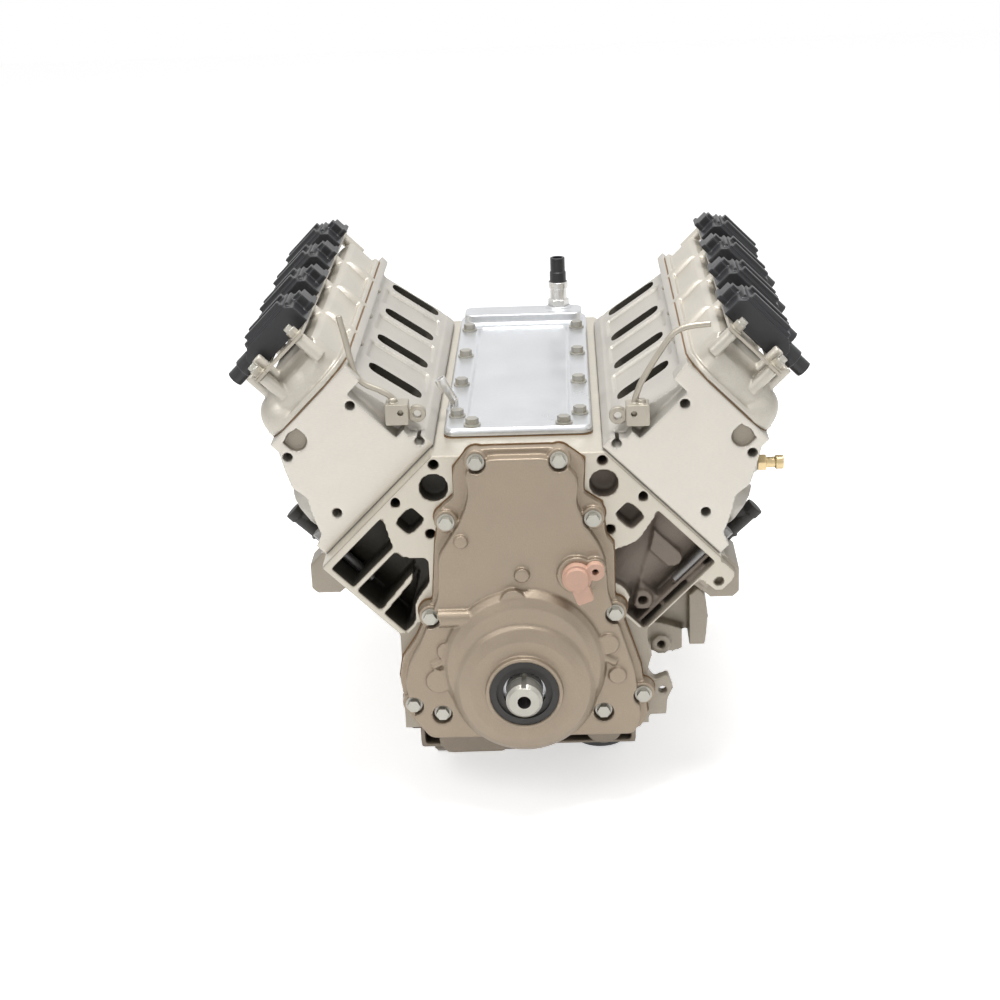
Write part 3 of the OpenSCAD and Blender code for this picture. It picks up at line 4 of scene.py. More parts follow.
import bmesh
import bpy
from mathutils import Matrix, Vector

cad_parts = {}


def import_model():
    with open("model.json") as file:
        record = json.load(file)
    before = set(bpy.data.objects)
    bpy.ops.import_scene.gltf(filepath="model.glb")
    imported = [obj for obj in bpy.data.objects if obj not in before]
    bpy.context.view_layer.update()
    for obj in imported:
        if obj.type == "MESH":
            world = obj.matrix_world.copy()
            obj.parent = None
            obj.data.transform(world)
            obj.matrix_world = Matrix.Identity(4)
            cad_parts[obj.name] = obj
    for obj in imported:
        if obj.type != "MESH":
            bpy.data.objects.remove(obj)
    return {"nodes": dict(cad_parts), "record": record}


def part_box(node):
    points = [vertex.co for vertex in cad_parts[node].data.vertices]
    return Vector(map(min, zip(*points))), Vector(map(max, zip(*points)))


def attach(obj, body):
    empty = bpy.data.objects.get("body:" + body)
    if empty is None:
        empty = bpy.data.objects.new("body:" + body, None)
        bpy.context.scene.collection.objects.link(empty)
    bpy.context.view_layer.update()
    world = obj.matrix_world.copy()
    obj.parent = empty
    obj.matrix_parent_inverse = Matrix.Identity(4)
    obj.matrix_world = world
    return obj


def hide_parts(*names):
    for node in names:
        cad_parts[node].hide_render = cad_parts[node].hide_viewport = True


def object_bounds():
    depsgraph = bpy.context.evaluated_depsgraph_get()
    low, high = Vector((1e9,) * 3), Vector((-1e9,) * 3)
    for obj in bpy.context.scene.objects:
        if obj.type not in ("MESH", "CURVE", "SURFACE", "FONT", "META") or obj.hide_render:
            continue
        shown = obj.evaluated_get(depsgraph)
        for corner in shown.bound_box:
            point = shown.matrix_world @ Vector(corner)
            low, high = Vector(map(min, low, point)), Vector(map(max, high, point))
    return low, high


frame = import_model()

MM = 0.001
cad_box = [list(corner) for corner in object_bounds()]
NODES = frame["nodes"]
BODY_OF = {node: body for body, nodes in frame["record"]["behaviour"]["bodies"].items()
           for node in nodes}
SLOT_OF = {part["node"]: part["material_slot"] for part in frame["record"]["subparts"]}

# Sizes in millimetres. A bank's frame has V outboard, Y rearward and N along the bores.
HALF_V = math.radians(45)
BORE_SPACING = 111.76
BLOCK_MARGIN = 28
HALF_STAGGER = 12
DECK = 234.7
RAIL = 358
VALLEY = 243
HEAD_FRONT = {1: 4, -1: 28}
HEAD_LENGTH = 467
PORT_SHIFT = 44
PORT_FOOT = DECK + 26
PORT_TOP = DECK + 91
INTAKE_V = -112
COIL_V = -112
COIL_N = RAIL + 46 + 6 + 3
BRACKET_POSTS_V = (-100, -44)
COVER_SCREW_V = -79
FACING = 0.93


def bore_y(side, k):
    """Where a bore lies on Y: the left bank's bores lie behind those of the right bank."""
    return BLOCK_MARGIN + BORE_SPACING * (k + 0.5) - side * HALF_STAGGER


# Camera

def make_camera():
    """The photograph's view: the front of the engine, from a little above and to the right."""
    lens = bpy.data.cameras.new("camera")
    lens.sensor_width = 36
    lens.lens = 70.4
    camera = bpy.data.objects.new("camera", lens)
    camera.location = (0.054, -1.8725, 0.8996)
    camera.rotation_euler = [math.radians(turn) for turn in (69.35, 2.148, 1.436)]
    bpy.context.scene.collection.objects.link(camera)
    bpy.context.scene.camera = camera


# Materials

def add_node(tree, kind, **inputs):
    node = tree.nodes.new(kind)
    for name, value in inputs.items():
        node.inputs[name.replace("_", " ")].default_value = value
    return node


def noise(tree, place, scale, detail=4.0, stretch=(1, 1, 1)):
    """A noise pattern in the object's own space, and its factor socket."""
    mapping = add_node(tree, "ShaderNodeMapping", Scale=stretch)
    tree.links.new(place.outputs["Object"], mapping.inputs["Vector"])
    pattern = add_node(tree, "ShaderNodeTexNoise", Scale=scale, Detail=detail)
    tree.links.new(mapping.outputs["Vector"], pattern.inputs["Vector"])
    return pattern.outputs["Fac"]


def spread(tree, factor, low, high, start=0.3, end=0.7):
    """Maps a factor between two values."""
    node = add_node(tree, "ShaderNodeMapRange")
    node.inputs["From Min"].default_value = start
    node.inputs["From Max"].default_value = end
    node.inputs["To Min"].default_value = low
    node.inputs["To Max"].default_value = high
    tree.links.new(factor, node.inputs["Value"])
    return node.outputs["Result"]


def mix(tree, factor, first, second):
    """Mixes two colours, each a socket or a tuple, by a factor socket."""
    node = tree.nodes.new("ShaderNodeMix")
    node.data_type = "RGBA"
    tree.links.new(factor, node.inputs[0])
    for value, socket in ((first, node.inputs[6]), (second, node.inputs[7])):
        if isinstance(value, tuple):
            socket.default_value = (*value, 1)
        else:
            tree.links.new(value, socket)
    return node.outputs[2]


def shade(colour, amount):
    return tuple(min(1.0, channel * amount) for channel in colour)


def surface(name, colour, rough, metal, grain, depth, mottle, stretch=(1, 1, 1), grime_and_shade=None,
            coat=0.0):
    """A procedural surface: mottled colour, uneven roughness, fine grain, and dirt with painted
    shade darkening the hollows.
    """
    material = bpy.data.materials.new(name)
    material.use_nodes = True
    tree = material.node_tree
    shader = tree.nodes["Principled BSDF"]
    place = tree.nodes.new("ShaderNodeTexCoord")
    broad = noise(tree, place, 22, 5)
    fine = noise(tree, place, grain, 3, stretch)
    tone = mix(tree, spread(tree, broad, 0, 1),
               shade(colour, 1 - mottle), shade(colour, 1 + mottle))
    tone = mix(tree, spread(tree, fine, 0, 0.35), tone, shade(colour, 0.8))
    # Dirt and painted shade: faces in concave creases, found by their pointiness, are mixed towards
    # the dark grime colour.
    if grime_and_shade:
        geometry = tree.nodes.new("ShaderNodeNewGeometry")
        hollowness = spread(tree, geometry.outputs["Pointiness"], 0.75, 0, 0.38, 0.5)
        tone = mix(tree, hollowness, tone, grime_and_shade)
    tree.links.new(tone, shader.inputs["Base Color"])
    tree.links.new(spread(tree, broad, rough - 0.06, rough + 0.08), shader.inputs["Roughness"])
    bump = add_node(tree, "ShaderNodeBump", Strength=depth, Distance=0.0006)
    tree.links.new(fine, bump.inputs["Height"])
    tree.links.new(bump.outputs["Normal"], shader.inputs["Normal"])
    shader.inputs["Metallic"].default_value = metal
    shader.inputs["Coat Weight"].default_value = coat
    return material


def make_materials():
    # Each grime colour darkens the creases of its surface, as dirt and painted shade.
    return {
        "cast": surface("cast_aluminium", (0.36, 0.32, 0.26), 0.48, 0.4, 620, 0.5, 0.1,
                        grime_and_shade=(0.15, 0.12, 0.09)),
        "head": surface("cast_head", (0.50, 0.475, 0.43), 0.44, 0.45, 620, 0.45, 0.08,
                        grime_and_shade=(0.2, 0.17, 0.14)),
        "pan": surface("cast_pan", (0.24, 0.20, 0.155), 0.48, 0.4, 620, 0.5, 0.12,
                       grime_and_shade=(0.1, 0.08, 0.06)),
        "face": surface("milled_block", (0.565, 0.525, 0.445), 0.36, 0.5, 260, 0.12, 0.06,
                        (1, 1, 9)),
        "bolt": surface("zinc_bolt", (0.42, 0.405, 0.36), 0.36, 0.7, 900, 0.12, 0.15),
        "dull": surface("dull_fitting", (0.42, 0.385, 0.32), 0.4, 0.6, 900, 0.15, 0.12),
        "lid": surface("cast_lid", (0.54, 0.505, 0.44), 0.42, 0.45, 620, 0.4, 0.07,
                       grime_and_shade=(0.22, 0.19, 0.15)),
        "cover": surface("cast_cover", (0.325, 0.262, 0.195), 0.40, 0.5, 620, 0.4, 0.08,
                         grime_and_shade=(0.16, 0.12, 0.08)),
        # Painted shade: the left hollows of the block and the walls of the heads' ports are given a
        # near-black casting, and the right hollows a dark one, as they look in the photograph
        "pocket": surface("casting_painted_deep_shade", (0.052, 0.046, 0.035), 0.6, 0.15, 500, 0.6, 0.15),
        "hollow": surface("casting_painted_shade", (0.20, 0.165, 0.135), 0.55, 0.25, 500, 0.6, 0.12),
        "machined": surface("machined_face", (0.645, 0.605, 0.54), 0.34, 0.5, 260, 0.12, 0.04,
                            (1, 1, 9)),
        "plate": surface("milled_plate", (0.62, 0.63, 0.645), 0.33, 0.75, 180, 0.12, 0.05,
                         (1, 8, 1)),
        "bright": surface("bright_steel", (0.66, 0.65, 0.63), 0.27, 0.9, 900, 0.08, 0.08),
        "dark": surface("dark_steel", (0.23, 0.225, 0.22), 0.42, 0.85, 700, 0.15, 0.12),
        "iron": surface("machined_iron", (0.34, 0.33, 0.325), 0.35, 0.85, 700, 0.12, 0.1),
        "spring": surface("blued_spring", (0.12, 0.15, 0.2), 0.35, 0.85, 700, 0.1, 0.1),
        "gasket": surface("gasket", (0.22, 0.13, 0.06), 0.6, 0.0, 800, 0.2, 0.15),
        "rubber": surface("black_rubber", (0.03, 0.028, 0.025), 0.55, 0.0, 900, 0.25, 0.2),
        "plastic": surface("black_plastic", (0.018, 0.018, 0.02), 0.36, 0.0, 1200, 0.22, 0.15),
        "pink": surface("pink_plastic", (0.64, 0.40, 0.30), 0.42, 0.0, 900, 0.15, 0.06),
        "paint": surface("filter_paint", (0.04, 0.04, 0.043), 0.3, 0.0, 500, 0.1, 0.1, coat=0.4),
        "ceramic": surface("white_ceramic", (0.82, 0.80, 0.76), 0.18, 0.0, 300, 0.03, 0.02,
                           coat=0.5),
        "brass": surface("brass", (0.62, 0.49, 0.28), 0.34, 0.9, 700, 0.12, 0.08),
    }


MATERIAL_OF_SLOT = {
    "cast_aluminium": "cast", "machined_aluminium": "plate", "cast_iron": "iron",
    "bright_steel": "bright", "dark_steel": "dark", "spring_steel": "spring",
    "gasket_paper": "gasket", "black_rubber": "rubber", "black_plastic": "plastic",
    "pink_plastic": "pink", "filter_paint": "paint", "white_ceramic": "ceramic", "brass": "brass",
}
MATERIAL_OF_NODE = {"cover_bolts": "bolt", "coil_brackets": "dull", "vent_tube": "bright",
                    "rear_cover": "cast"}


def dress_nodes():
    """Every CAD node gets the material of its slot, or one of its own."""
    for node, thing in NODES.items():
        thing.data.materials.clear()
        key = MATERIAL_OF_NODE.get(node, MATERIAL_OF_SLOT[SLOT_OF[node]])
        thing.data.materials.append(MATERIALS[key])


# Solid forms, in millimetres until they are placed

def world(x, y, z):
    return Vector((x, y, z)) * MM


def bank(side):
    """The frame of a bank: outboard, rearward, and along the bores."""
    turn = math.cos(HALF_V)
    return lambda v, y, n: Vector((side * (v + n) * turn, y, (n - v) * turn)) * MM


def loft(rings):
    """A closed solid through rings of placed points, with a cap on each end."""
    count = len(rings[0])
    faces = [list(range(count)), [len(rings) * count - 1 - i for i in range(count)]]
    for step in range(len(rings) - 1):
        low, high = step * count, (step + 1) * count
        faces += [(low + i, low + (i + 1) % count, high + (i + 1) % count, high + i)
                  for i in range(count)]
    mesh = bpy.data.meshes.new("form")
    mesh.from_pydata([point for ring in rings for point in ring], [], faces)
    grown = bmesh.new()
    grown.from_mesh(mesh)
    bmesh.ops.recalc_face_normals(grown, faces=grown.faces)
    grown.to_mesh(mesh)
    grown.free()
    return mesh


def prism(outline, start, end, place=world):
    """An outline of X and Z, carried along Y."""
    return loft([[place(a, y, b) for a, b in outline] for y in (start, end)])


def rod(start, end, radius, place=world, end_radius=None, sides=36):
    """A round or polygonal rod between two points."""
    start, end = Vector(start), Vector(end)
    axis = (end - start).normalized()
    across = axis.orthogonal().normalized()
    up = axis.cross(across)
    rings = []
    for centre, size in ((start, radius), (end, end_radius or radius)):
        turns = [2 * math.pi * i / sides for i in range(sides)]
        rings.append([place(*(centre + (across * math.cos(t) + up * math.sin(t)) * size))
                      for t in turns])
    return loft(rings)


def rod_y(x, z, radius, start, end, place=world):
    return rod((x, start, z), (x, end, z), radius, place)


def lathe(profile, x=0, z=0, sides=96):
    """A profile of radius and Y, turned about an axis along Y."""
    turns = [2 * math.pi * i / sides for i in range(sides)]
    return loft([[world(x + r * math.cos(t), y, z + r * math.sin(t)) for t in turns]
                 for r, y in profile])


def tube(points, radius, sides=20, steps=8):
    """A round tube along a smooth curve through points in millimetres."""
    points = [Vector(point) for point in points]
    line = []
    ends = [points[0] * 2 - points[1], *points, points[-1] * 2 - points[-2]]
    for a, b, c, d in zip(ends, ends[1:], ends[2:], ends[3:]):
        for t in (k / steps for k in range(steps)):
            line.append(0.5 * (2 * b + (c - a) * t + (2 * a - 5 * b + 4 * c - d) * t * t
                               + (3 * b - a - 3 * c + d) * t ** 3))
    line.append(points[-1])
    rings = []
    across = (line[1] - line[0]).orthogonal().normalized()
    for i, centre in enumerate(line):
        along = (line[min(i + 1, len(line) - 1)] - line[max(i - 1, 0)]).normalized()
        across = (across - along * across.dot(along)).normalized()
        up = along.cross(across)
        turns = [2 * math.pi * k / sides for k in range(sides)]
        rings.append([world(*(centre + (across * math.cos(t) + up * math.sin(t)) * radius))
                      for t in turns])
    return loft(rings)


def ball(centre, radii, place=world, sides=36, steps=16):
    """An ellipsoid whose poles lie on Y."""
    rings = []
    for i in range(1, steps):
        lift = math.pi * i / steps
        ring = []
        for k in range(sides):
            turn = 2 * math.pi * k / sides
            ring.append(place(centre[0] + radii[0] * math.sin(lift) * math.cos(turn),
                              centre[1] - radii[1] * math.cos(lift),
                              centre[2] + radii[2] * math.sin(lift) * math.sin(turn)))
        rings.append(ring)
    return loft(rings)


def box(x0, x1, y0, y1, z0, z1, place=world):
    return prism([(x0, z0), (x1, z0), (x1, z1), (x0, z1)], y0, y1, place)


def rounded(outline, radius, steps=5):
    """An outline with its corners rounded."""
    result = []
    count = len(outline)
    for i in range(count):
        before, here, after = (Vector(outline[(i + k) % count]) for k in (-1, 0, 1))
        reach = min(radius, (before - here).length * 0.45, (after - here).length * 0.45)
        a = here + (before - here).normalized() * reach
        b = here + (after - here).normalized() * reach
        for k in range(steps + 1):
            t = k / steps
            result.append(tuple(a * (1 - t) ** 2 + here * 2 * t * (1 - t) + b * t ** 2))
    return result


def inset(outline, distance):
    """A counterclockwise or clockwise outline moved inwards."""
    count = len(outline)
    area = sum(outline[i][0] * outline[(i + 1) % count][1]
               - outline[(i + 1) % count][0] * outline[i][1] for i in range(count))
    sign = distance if area > 0 else -distance
    moved = []
    for i in range(count):
        run = Vector(outline[(i + 1) % count]) - Vector(outline[i - 1])
        run.normalize()
        moved.append((outline[i][0] - run.y * sign, outline[i][1] + run.x * sign))
    return moved


def carve(mesh, steps):
    """Adds solids to a mesh and cuts them from it, in the order given."""
    base = bpy.data.objects.new("base", mesh)
    bpy.context.scene.collection.objects.link(base)
    tools = []
    for operation, form in steps:
        tool = bpy.data.objects.new("tool", form)
        bpy.context.scene.collection.objects.link(tool)
        step = base.modifiers.new("step", "BOOLEAN")
        step.operation = {"add": "UNION", "cut": "DIFFERENCE"}[operation]
        step.solver = "MANIFOLD"
        step.object = tool
        tools.append(tool)
    evaluated = base.evaluated_get(bpy.context.evaluated_depsgraph_get())
    result = bpy.data.meshes.new_from_object(evaluated)
    for thing in tools + [base]:
        bpy.data.objects.remove(thing)
    return result


def welded(node):
    """A copy of a node's mesh with its split edges joined."""
    mesh = NODES[node].data.copy()
    whole = bmesh.new()
    whole.from_mesh(mesh)
    bmesh.ops.remove_doubles(whole, verts=whole.verts, dist=1e-6)
    whole.to_mesh(mesh)
    whole.free()
    return mesh


def softened(mesh, name, voxel, softness, keep=0.5):
    """An object of a mesh with its edges rounded as a casting's are."""
    piece = bpy.data.objects.new(name, mesh)
    bpy.context.scene.collection.objects.link(piece)
    grid = piece.modifiers.new("grid", "REMESH")
    grid.mode = "VOXEL"
    grid.voxel_size = voxel * MM
    grid.use_smooth_shade = True
    soften = piece.modifiers.new("soften", "SMOOTH")
    soften.factor = 0.5
    soften.iterations = softness
    fewer = piece.modifiers.new("fewer", "DECIMATE")
    fewer.ratio = keep
    evaluated = piece.evaluated_get(bpy.context.evaluated_depsgraph_get())
    piece.data = bpy.data.meshes.new_from_object(evaluated)
    piece.modifiers.clear()
    piece.data.materials.clear()
    return piece


def standing_for(piece, node):
    """A piece takes the place of a node, on its body."""
    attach(piece, BODY_OF[node])
    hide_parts(node)


def paint_faces(piece, base, others):
    """Gives a piece its base material, and others to the faces that their tests pick."""
    mesh = piece.data
    mesh.materials.append(MATERIALS[base])
    for index, (name, test) in enumerate(others, 1):
        mesh.materials.append(MATERIALS[name])
        for face in mesh.polygons:
            if test(face.center / MM, face.normal):
                face.material_index = index


def bank_frame(point, side):
    """A point's place in a bank's frame: outboard, and along the bores."""
    x, z = side * point.x, point.z
    return (x - z) * math.sin(HALF_V), (x + z) * math.cos(HALF_V)


def facing_front(y, lowest=-500):
    """A test for faces that look forward at a place on Y, above a height."""
    return lambda centre, normal: (normal.y < -FACING and abs(centre.y - y) < 0.9
                                   and centre.z > lowest)


# Block

MOUNT_BOSS = [(170, 96), (196, 76), (220, 76), (226, 81), (226, 108), (216, 118), (209, 123.5),
              (190, 112)]
FRONT_EAR = [(122, 36), (133, 27), (134, 14), (129, -4), (137, -14), (151, -8), (156, -24),
             (150, -38), (149, -55), (122, -56)]
EAR_HOLE = (145, -26)
LUG_WEB = [(122, 30), (150, 20), (184, 20), (184, 102), (150, 70), (122, 48)]
LUG_PAD = [(176, 8), (193, 8), (196, 40), (193, 66), (185, 74), (176, 66)]
LUG_FOOT = [(122, 2), (158, 0), (168, 3), (168, 27), (150, 33), (122, 40)]
LUG_BORE = (145.6, 10)
RIGHT_HOLLOW = [(143, 177), (121, 144), (92, 133), (93, 101), (106, 94), (114, 80), (114, 66),
                (132, 128)]
LEFT_HOLLOW = [(-133, 144), (-121, 132), (-97, 131), (-96, 104), (-106, 92), (-113, 80),
               (-113, 60), (-122, 50), (-112, 118)]


def on_deck(centre, normal):
    side = 1 if centre.x > 0 else -1
    return abs(bank_frame(centre, side)[1] - DECK) < 1 and bank_frame(normal, side)[1] > FACING


def on_valley_rail(centre, normal):
    return normal.z > FACING and abs(centre.z - VALLEY) < 1


def in_front_hollows(side):
    """The walls of the pockets, ports and holes in one half of the block's front."""
    def test(centre, normal):
        v, n = bank_frame(centre, side)
        return (1.3 < centre.y < 75 and v < 56.5 and n < DECK - 3 and centre.z < VALLEY - 4
                and 0 < side * centre.x and (centre.z > 45 or side * centre.x < 118))
    return test


def make_block():
    steps = [("add", prism([(side * x, z) for x, z in MOUNT_BOSS], start, 83))
             for side, start in ((1, 10), (-1, 45))]
    steps += [
        ("add", prism(FRONT_EAR, 0, 14)), ("add", prism(LUG_WEB, 56, 64)),
        ("add", prism(LUG_PAD, 40, 76)), ("add", prism(LUG_FOOT, 40, 70)),
        ("add", rod_y(*LUG_BORE, 11, 36, 70)),
        ("cut", rod_y(*LUG_BORE, 4.2, 35, 60)), ("cut", rod_y(*EAR_HOLE, 4.2, -1, 20)),
    ]
    for side, outline in ((1, RIGHT_HOLLOW), (-1, LEFT_HOLLOW)):
        barrel = rod((0, bore_y(side, 0), 0), (0, bore_y(side, 0), 300), 58, bank(side))
        steps.append(("cut", carve(prism(rounded(outline, 6), -1, 22), [("cut", barrel)])))
    piece = softened(carve(welded("engine_block"), steps), "cast_block", 2.0, 2, 0.5)
    # The front hollows are painted shade: near-black on the left half and dark on the right.
    paint_faces(piece, "cast", [
        ("face", facing_front(0, 48)), ("face", on_deck), ("face", on_valley_rail),
        ("pocket", in_front_hollows(-1)), ("hollow", in_front_hollows(1))])
    standing_for(piece, "engine_block")


# Heads and valve covers

def make_head(side, name):
    node = "cylinder_head_" + name
    y0 = HEAD_FRONT[side]
    place = bank(side)
    leaning = [(-99, DECK + 14), (-112.8, DECK + 14), (INTAKE_V, PORT_FOOT), (-97.5, RAIL - 20),
               (-92, RAIL - 20)]
    spare = [(INTAKE_V, PORT_FOOT), (-97.5, RAIL - 20), (-100, RAIL - 13), (-114.5, RAIL - 10),
             (-150, RAIL - 10), (-150, PORT_FOOT)]
    recess = [(-150, DECK + 22), (-108.6, DECK + 22), (-95.5, RAIL - 32), (-100, RAIL - 22),
              (-150, RAIL - 22)]
    steps = [("add", prism(leaning, y0 + 22, y0 + HEAD_LENGTH, place)),
             ("cut", prism(spare, y0 + 22, y0 + HEAD_LENGTH + 1, place))]
    if side > 0:
        fitting = Vector((FITTING[0], y0 + 32, FITTING[1]))
        steps.append(("add", rod(fitting - Vector((18, 0, 0)), fitting, 10)))
    slots = []
    for k in range(4):
        middle = bore_y(side, k) + PORT_SHIFT
        slot = rounded([(middle - 14, PORT_FOOT), (middle + 14, PORT_FOOT),
                        (middle + 14, PORT_TOP), (middle - 14, PORT_TOP)], 12)
        slots.append(("cut", loft([[place(v, y, n) for y, n in slot] for v in (-150, -84)])))
        if k < 3:
            steps.append(("cut", prism(recess, middle + 24, middle + 88, place)))
    piece = softened(carve(welded(node), steps), "cast_head_" + name, 1.6, 2, 0.5)
    piece.data = carve(piece.data, slots)
    piece.data.materials.clear()
    piece.data.set_sharp_from_angle(angle=math.radians(40))

    def in_ports(centre, normal):
        v, n = bank_frame(centre, side)
        face = INTAKE_V + (n - DECK - 26) * 0.19
        near = min(abs(centre.y - bore_y(side, k) - PORT_SHIFT) for k in range(4))
        return face + 0.3 < v < -60 and near < 14.8 and DECK + 24.5 < n < DECK + 92.5

    def in_notch(centre, normal):
        v, n = bank_frame(centre, side)
        return y0 + 1.2 < centre.y < y0 + 9 and abs(v + 18) < 14 and abs(n - RAIL + 17) < 13

    # Painted shade: the walls of the intake ports take the near-black casting, and the notch near
    # the front takes the darker cast tone.
    paint_faces(piece, "head", [("machined", facing_front(y0)), ("pocket", in_ports),
                                ("cast", in_notch)])
    standing_for(piece, node)


def make_valve_cover(side, name):
    node = "valve_cover_" + name
    y0 = HEAD_FRONT[side]
    place = bank(side)
    steps = []
    for swelling, reach in ((ball((-24, y0 + 26, RAIL + 4), (25, 26, 30), place), -80),
                            (ball((-62, y0 + 30, RAIL + 6), (44, 27, 34), place), -120)):
        below = box(reach, 20, y0 - 20, y0 + 80, RAIL - 60, RAIL + 1, place)
        steps.append(("add", carve(swelling, [("cut", below)])))
    for v, n in ((-49, RAIL + 44), (-30, RAIL + 36)):
        steps += [("add", rod((v, y0 + 27, n - 14), (v, y0 + 27, n + 25), 6, place)),
                  ("cut", rod((v, y0 + 27, n + 8), (v, y0 + 27, n + 26), 3.2, place))]
    for v in BRACKET_POSTS_V:
        for k in (0, 4):
            y = bore_y(side, 0) + (k - 0.5) * BORE_SPACING
            steps.append(("add", rod((v, y, RAIL + 22), (v, y, RAIL + 52), 7, place)))
    for k in range(3):
        y = bore_y(side, k) + BORE_SPACING / 2
        steps.append(("add", rod((COVER_SCREW_V, y, RAIL + 44),
                                 (COVER_SCREW_V, y, RAIL + 47.5), 10, place)))
        steps.append(("add", ball((-108, y, RAIL + 12), (8, 9, 28), place)))
        steps.append(("add", ball((-8, y, RAIL + 8), (10, 9, 14), place)))
    piece = softened(carve(welded(node), steps), "cast_rocker_cover_" + name, 1.3, 4, 0.5)
    paint_faces(piece, "lid", [])
    standing_for(piece, node)


# Front cover, made anew with its raised shell

COVER_RIGHT = [(33, 254), (50, 252), (68, 238), (66, 203), (85, 190), (88, 156), (96, 146),
               (96, 90), (112, 40), (122, 8), (129, -48), (120, -64)]
COVER_LEFT = [(-33, 254), (-50, 252), (-66, 232), (-66, 203), (-81, 190), (-88, 152), (-93, 90),
              (-112, 46), (-128, 22), (-132, 0), (-126, -40), (-108, -64)]
SHELL_RIGHT = [(27, 247), (48, 239), (59, 226), (61, 216), (58, 198), (67, 174), (80, 152),
               (87, 134), (88.5, 98), (105, 42), (115, 8), (121, -44), (114, -64)]
SHELL_LEFT = [(-28, 247), (-47, 239), (-53, 230), (-50, 212), (-54, 194), (-62, 176), (-72, 161),
              (-84, 142), (-86, 98), (-105, 50), (-120, 22), (-125, 0), (-119, -38), (-102, -64)]
FRONT_BOLTS = [(42, 242), (75, 178), (96, 73), (124, -21), (82, -38),
               (-42, 242), (-75, 178), (-96, 73), (-118, -27), (-88, -37)]
CAM_BOSS = (57, 121.5)
SENSOR_EAR = (CAM_BOSS[0] + 19, CAM_BOSS[1] + 7)
COVER_FACE = -26
SEAT = -17
DOME = [(0.01, -23), (79, -23), (75, -35), (68, -43), (56, -48), (40, -48), (40, -56), (0.01, -56)]
SHOULDER = [(0.01, -23), (86, -23), (84.5, -29), (79, -35), (70, -39), (0.01, -40)]
FITTING = (246, 214.5)
BOSSES = [(-60, 160, 7, 5), (1, 122, 7.5, 6), (-9, 94, 13, 9), (88, 42, 11, 4), (97, 6, 9, 4),
          (-90, 4, 13, 4), (-80, 38, 10, 4), (*CAM_BOSS, 20, 7), (*SENSOR_EAR, 11, 7)]


def make_front_cover():
    shell = rounded(SHELL_RIGHT + SHELL_LEFT[::-1], 7, 4)
    steps = [("add", rod_y(x, z, 12.6, -12, -1)) for x, z in FRONT_BOLTS]
    steps += [("add", prism(shell, COVER_FACE, -11)), ("add", lathe(DOME)),
              ("add", lathe(SHOULDER, z=20))]
    steps += [("add", rod_y(x, z, 12, SEAT, -2)) for x, z in FRONT_BOLTS]
    steps += [("add", rod_y(x, z, r, COVER_FACE - rise, COVER_FACE + 1))
              for x, z, r, rise in BOSSES]
    steps += [("add", rod((-88, COVER_FACE, 75), (-54, COVER_FACE, 75), 9.6)),
              ("add", rod((-74, COVER_FACE, 32), (-96, COVER_FACE, 20), 4)),
              ("add", rod((74, COVER_FACE, 32), (96, COVER_FACE, 20), 4))]
    inner = prism(inset(shell, 5), COVER_FACE + 5, 1)
    posts = [("cut", rod_y(x, z, 14.5, COVER_FACE, 2)) for x, z in FRONT_BOLTS]
    inner = carve(inner, posts + [("cut", box(-200, 200, -40, 10, -200, -58))])
    steps += [("cut", inner), ("cut", rod_y(0, 0, 59.5, -44, 1)), ("cut", rod_y(0, 0, 36, -60, 1)),
              ("cut", rod_y(*CAM_BOSS, 9, -40, 1)), ("cut", rod_y(*SENSOR_EAR, 3, -40, -18)),
              ("cut", box(-200, 200, -22, 5, -200, -64))]
    for x, z in FRONT_BOLTS:
        steps += [("cut", rod_y(x, z, 4.3, -30, 1)), ("cut", rod_y(x, z, 10.5, -60, SEAT))]
    base = prism(rounded(COVER_RIGHT + COVER_LEFT[::-1], 5, 4), -12, -1)
    piece = softened(carve(base, steps), "cast_front_cover", 1.2, 3, 0.6)
    paint_faces(piece, "cover", [])
    standing_for(piece, "front_cover")


def make_sensor():
    """The cam sensor, with its ear and its connector pointing down."""
    y = COVER_FACE - 7
    steps = [("add", rod_y(*SENSOR_EAR, 9.5, y - 9, y)),
             ("add", rod_y(*CAM_BOSS, 12, y - 14, y - 8))]
    body = rod_y(*CAM_BOSS, 15, y - 9, y)
    arm = [(8, -9), (27, -9), (27, 9), (8, 9)]
    turn = math.radians(290)
    arm = [(CAM_BOSS[0] + a * math.cos(turn) - b * math.sin(turn),
            CAM_BOSS[1] + a * math.sin(turn) + b * math.cos(turn)) for a, b in rounded(arm, 4)]
    steps += [("add", prism(arm, y - 13, y - 2)),
              ("add", rod_y(*CAM_BOSS, 8.7, y - 1, COVER_FACE + 8)),
              ("cut", rod_y(*SENSOR_EAR, 3.3, y - 10, y + 1))]
    piece = softened(carve(body, steps), "cam_sensor", 0.6, 2, 0.5)
    paint_faces(piece, "pink", [])
    standing_for(piece, "cam_position_sensor")


# Coils

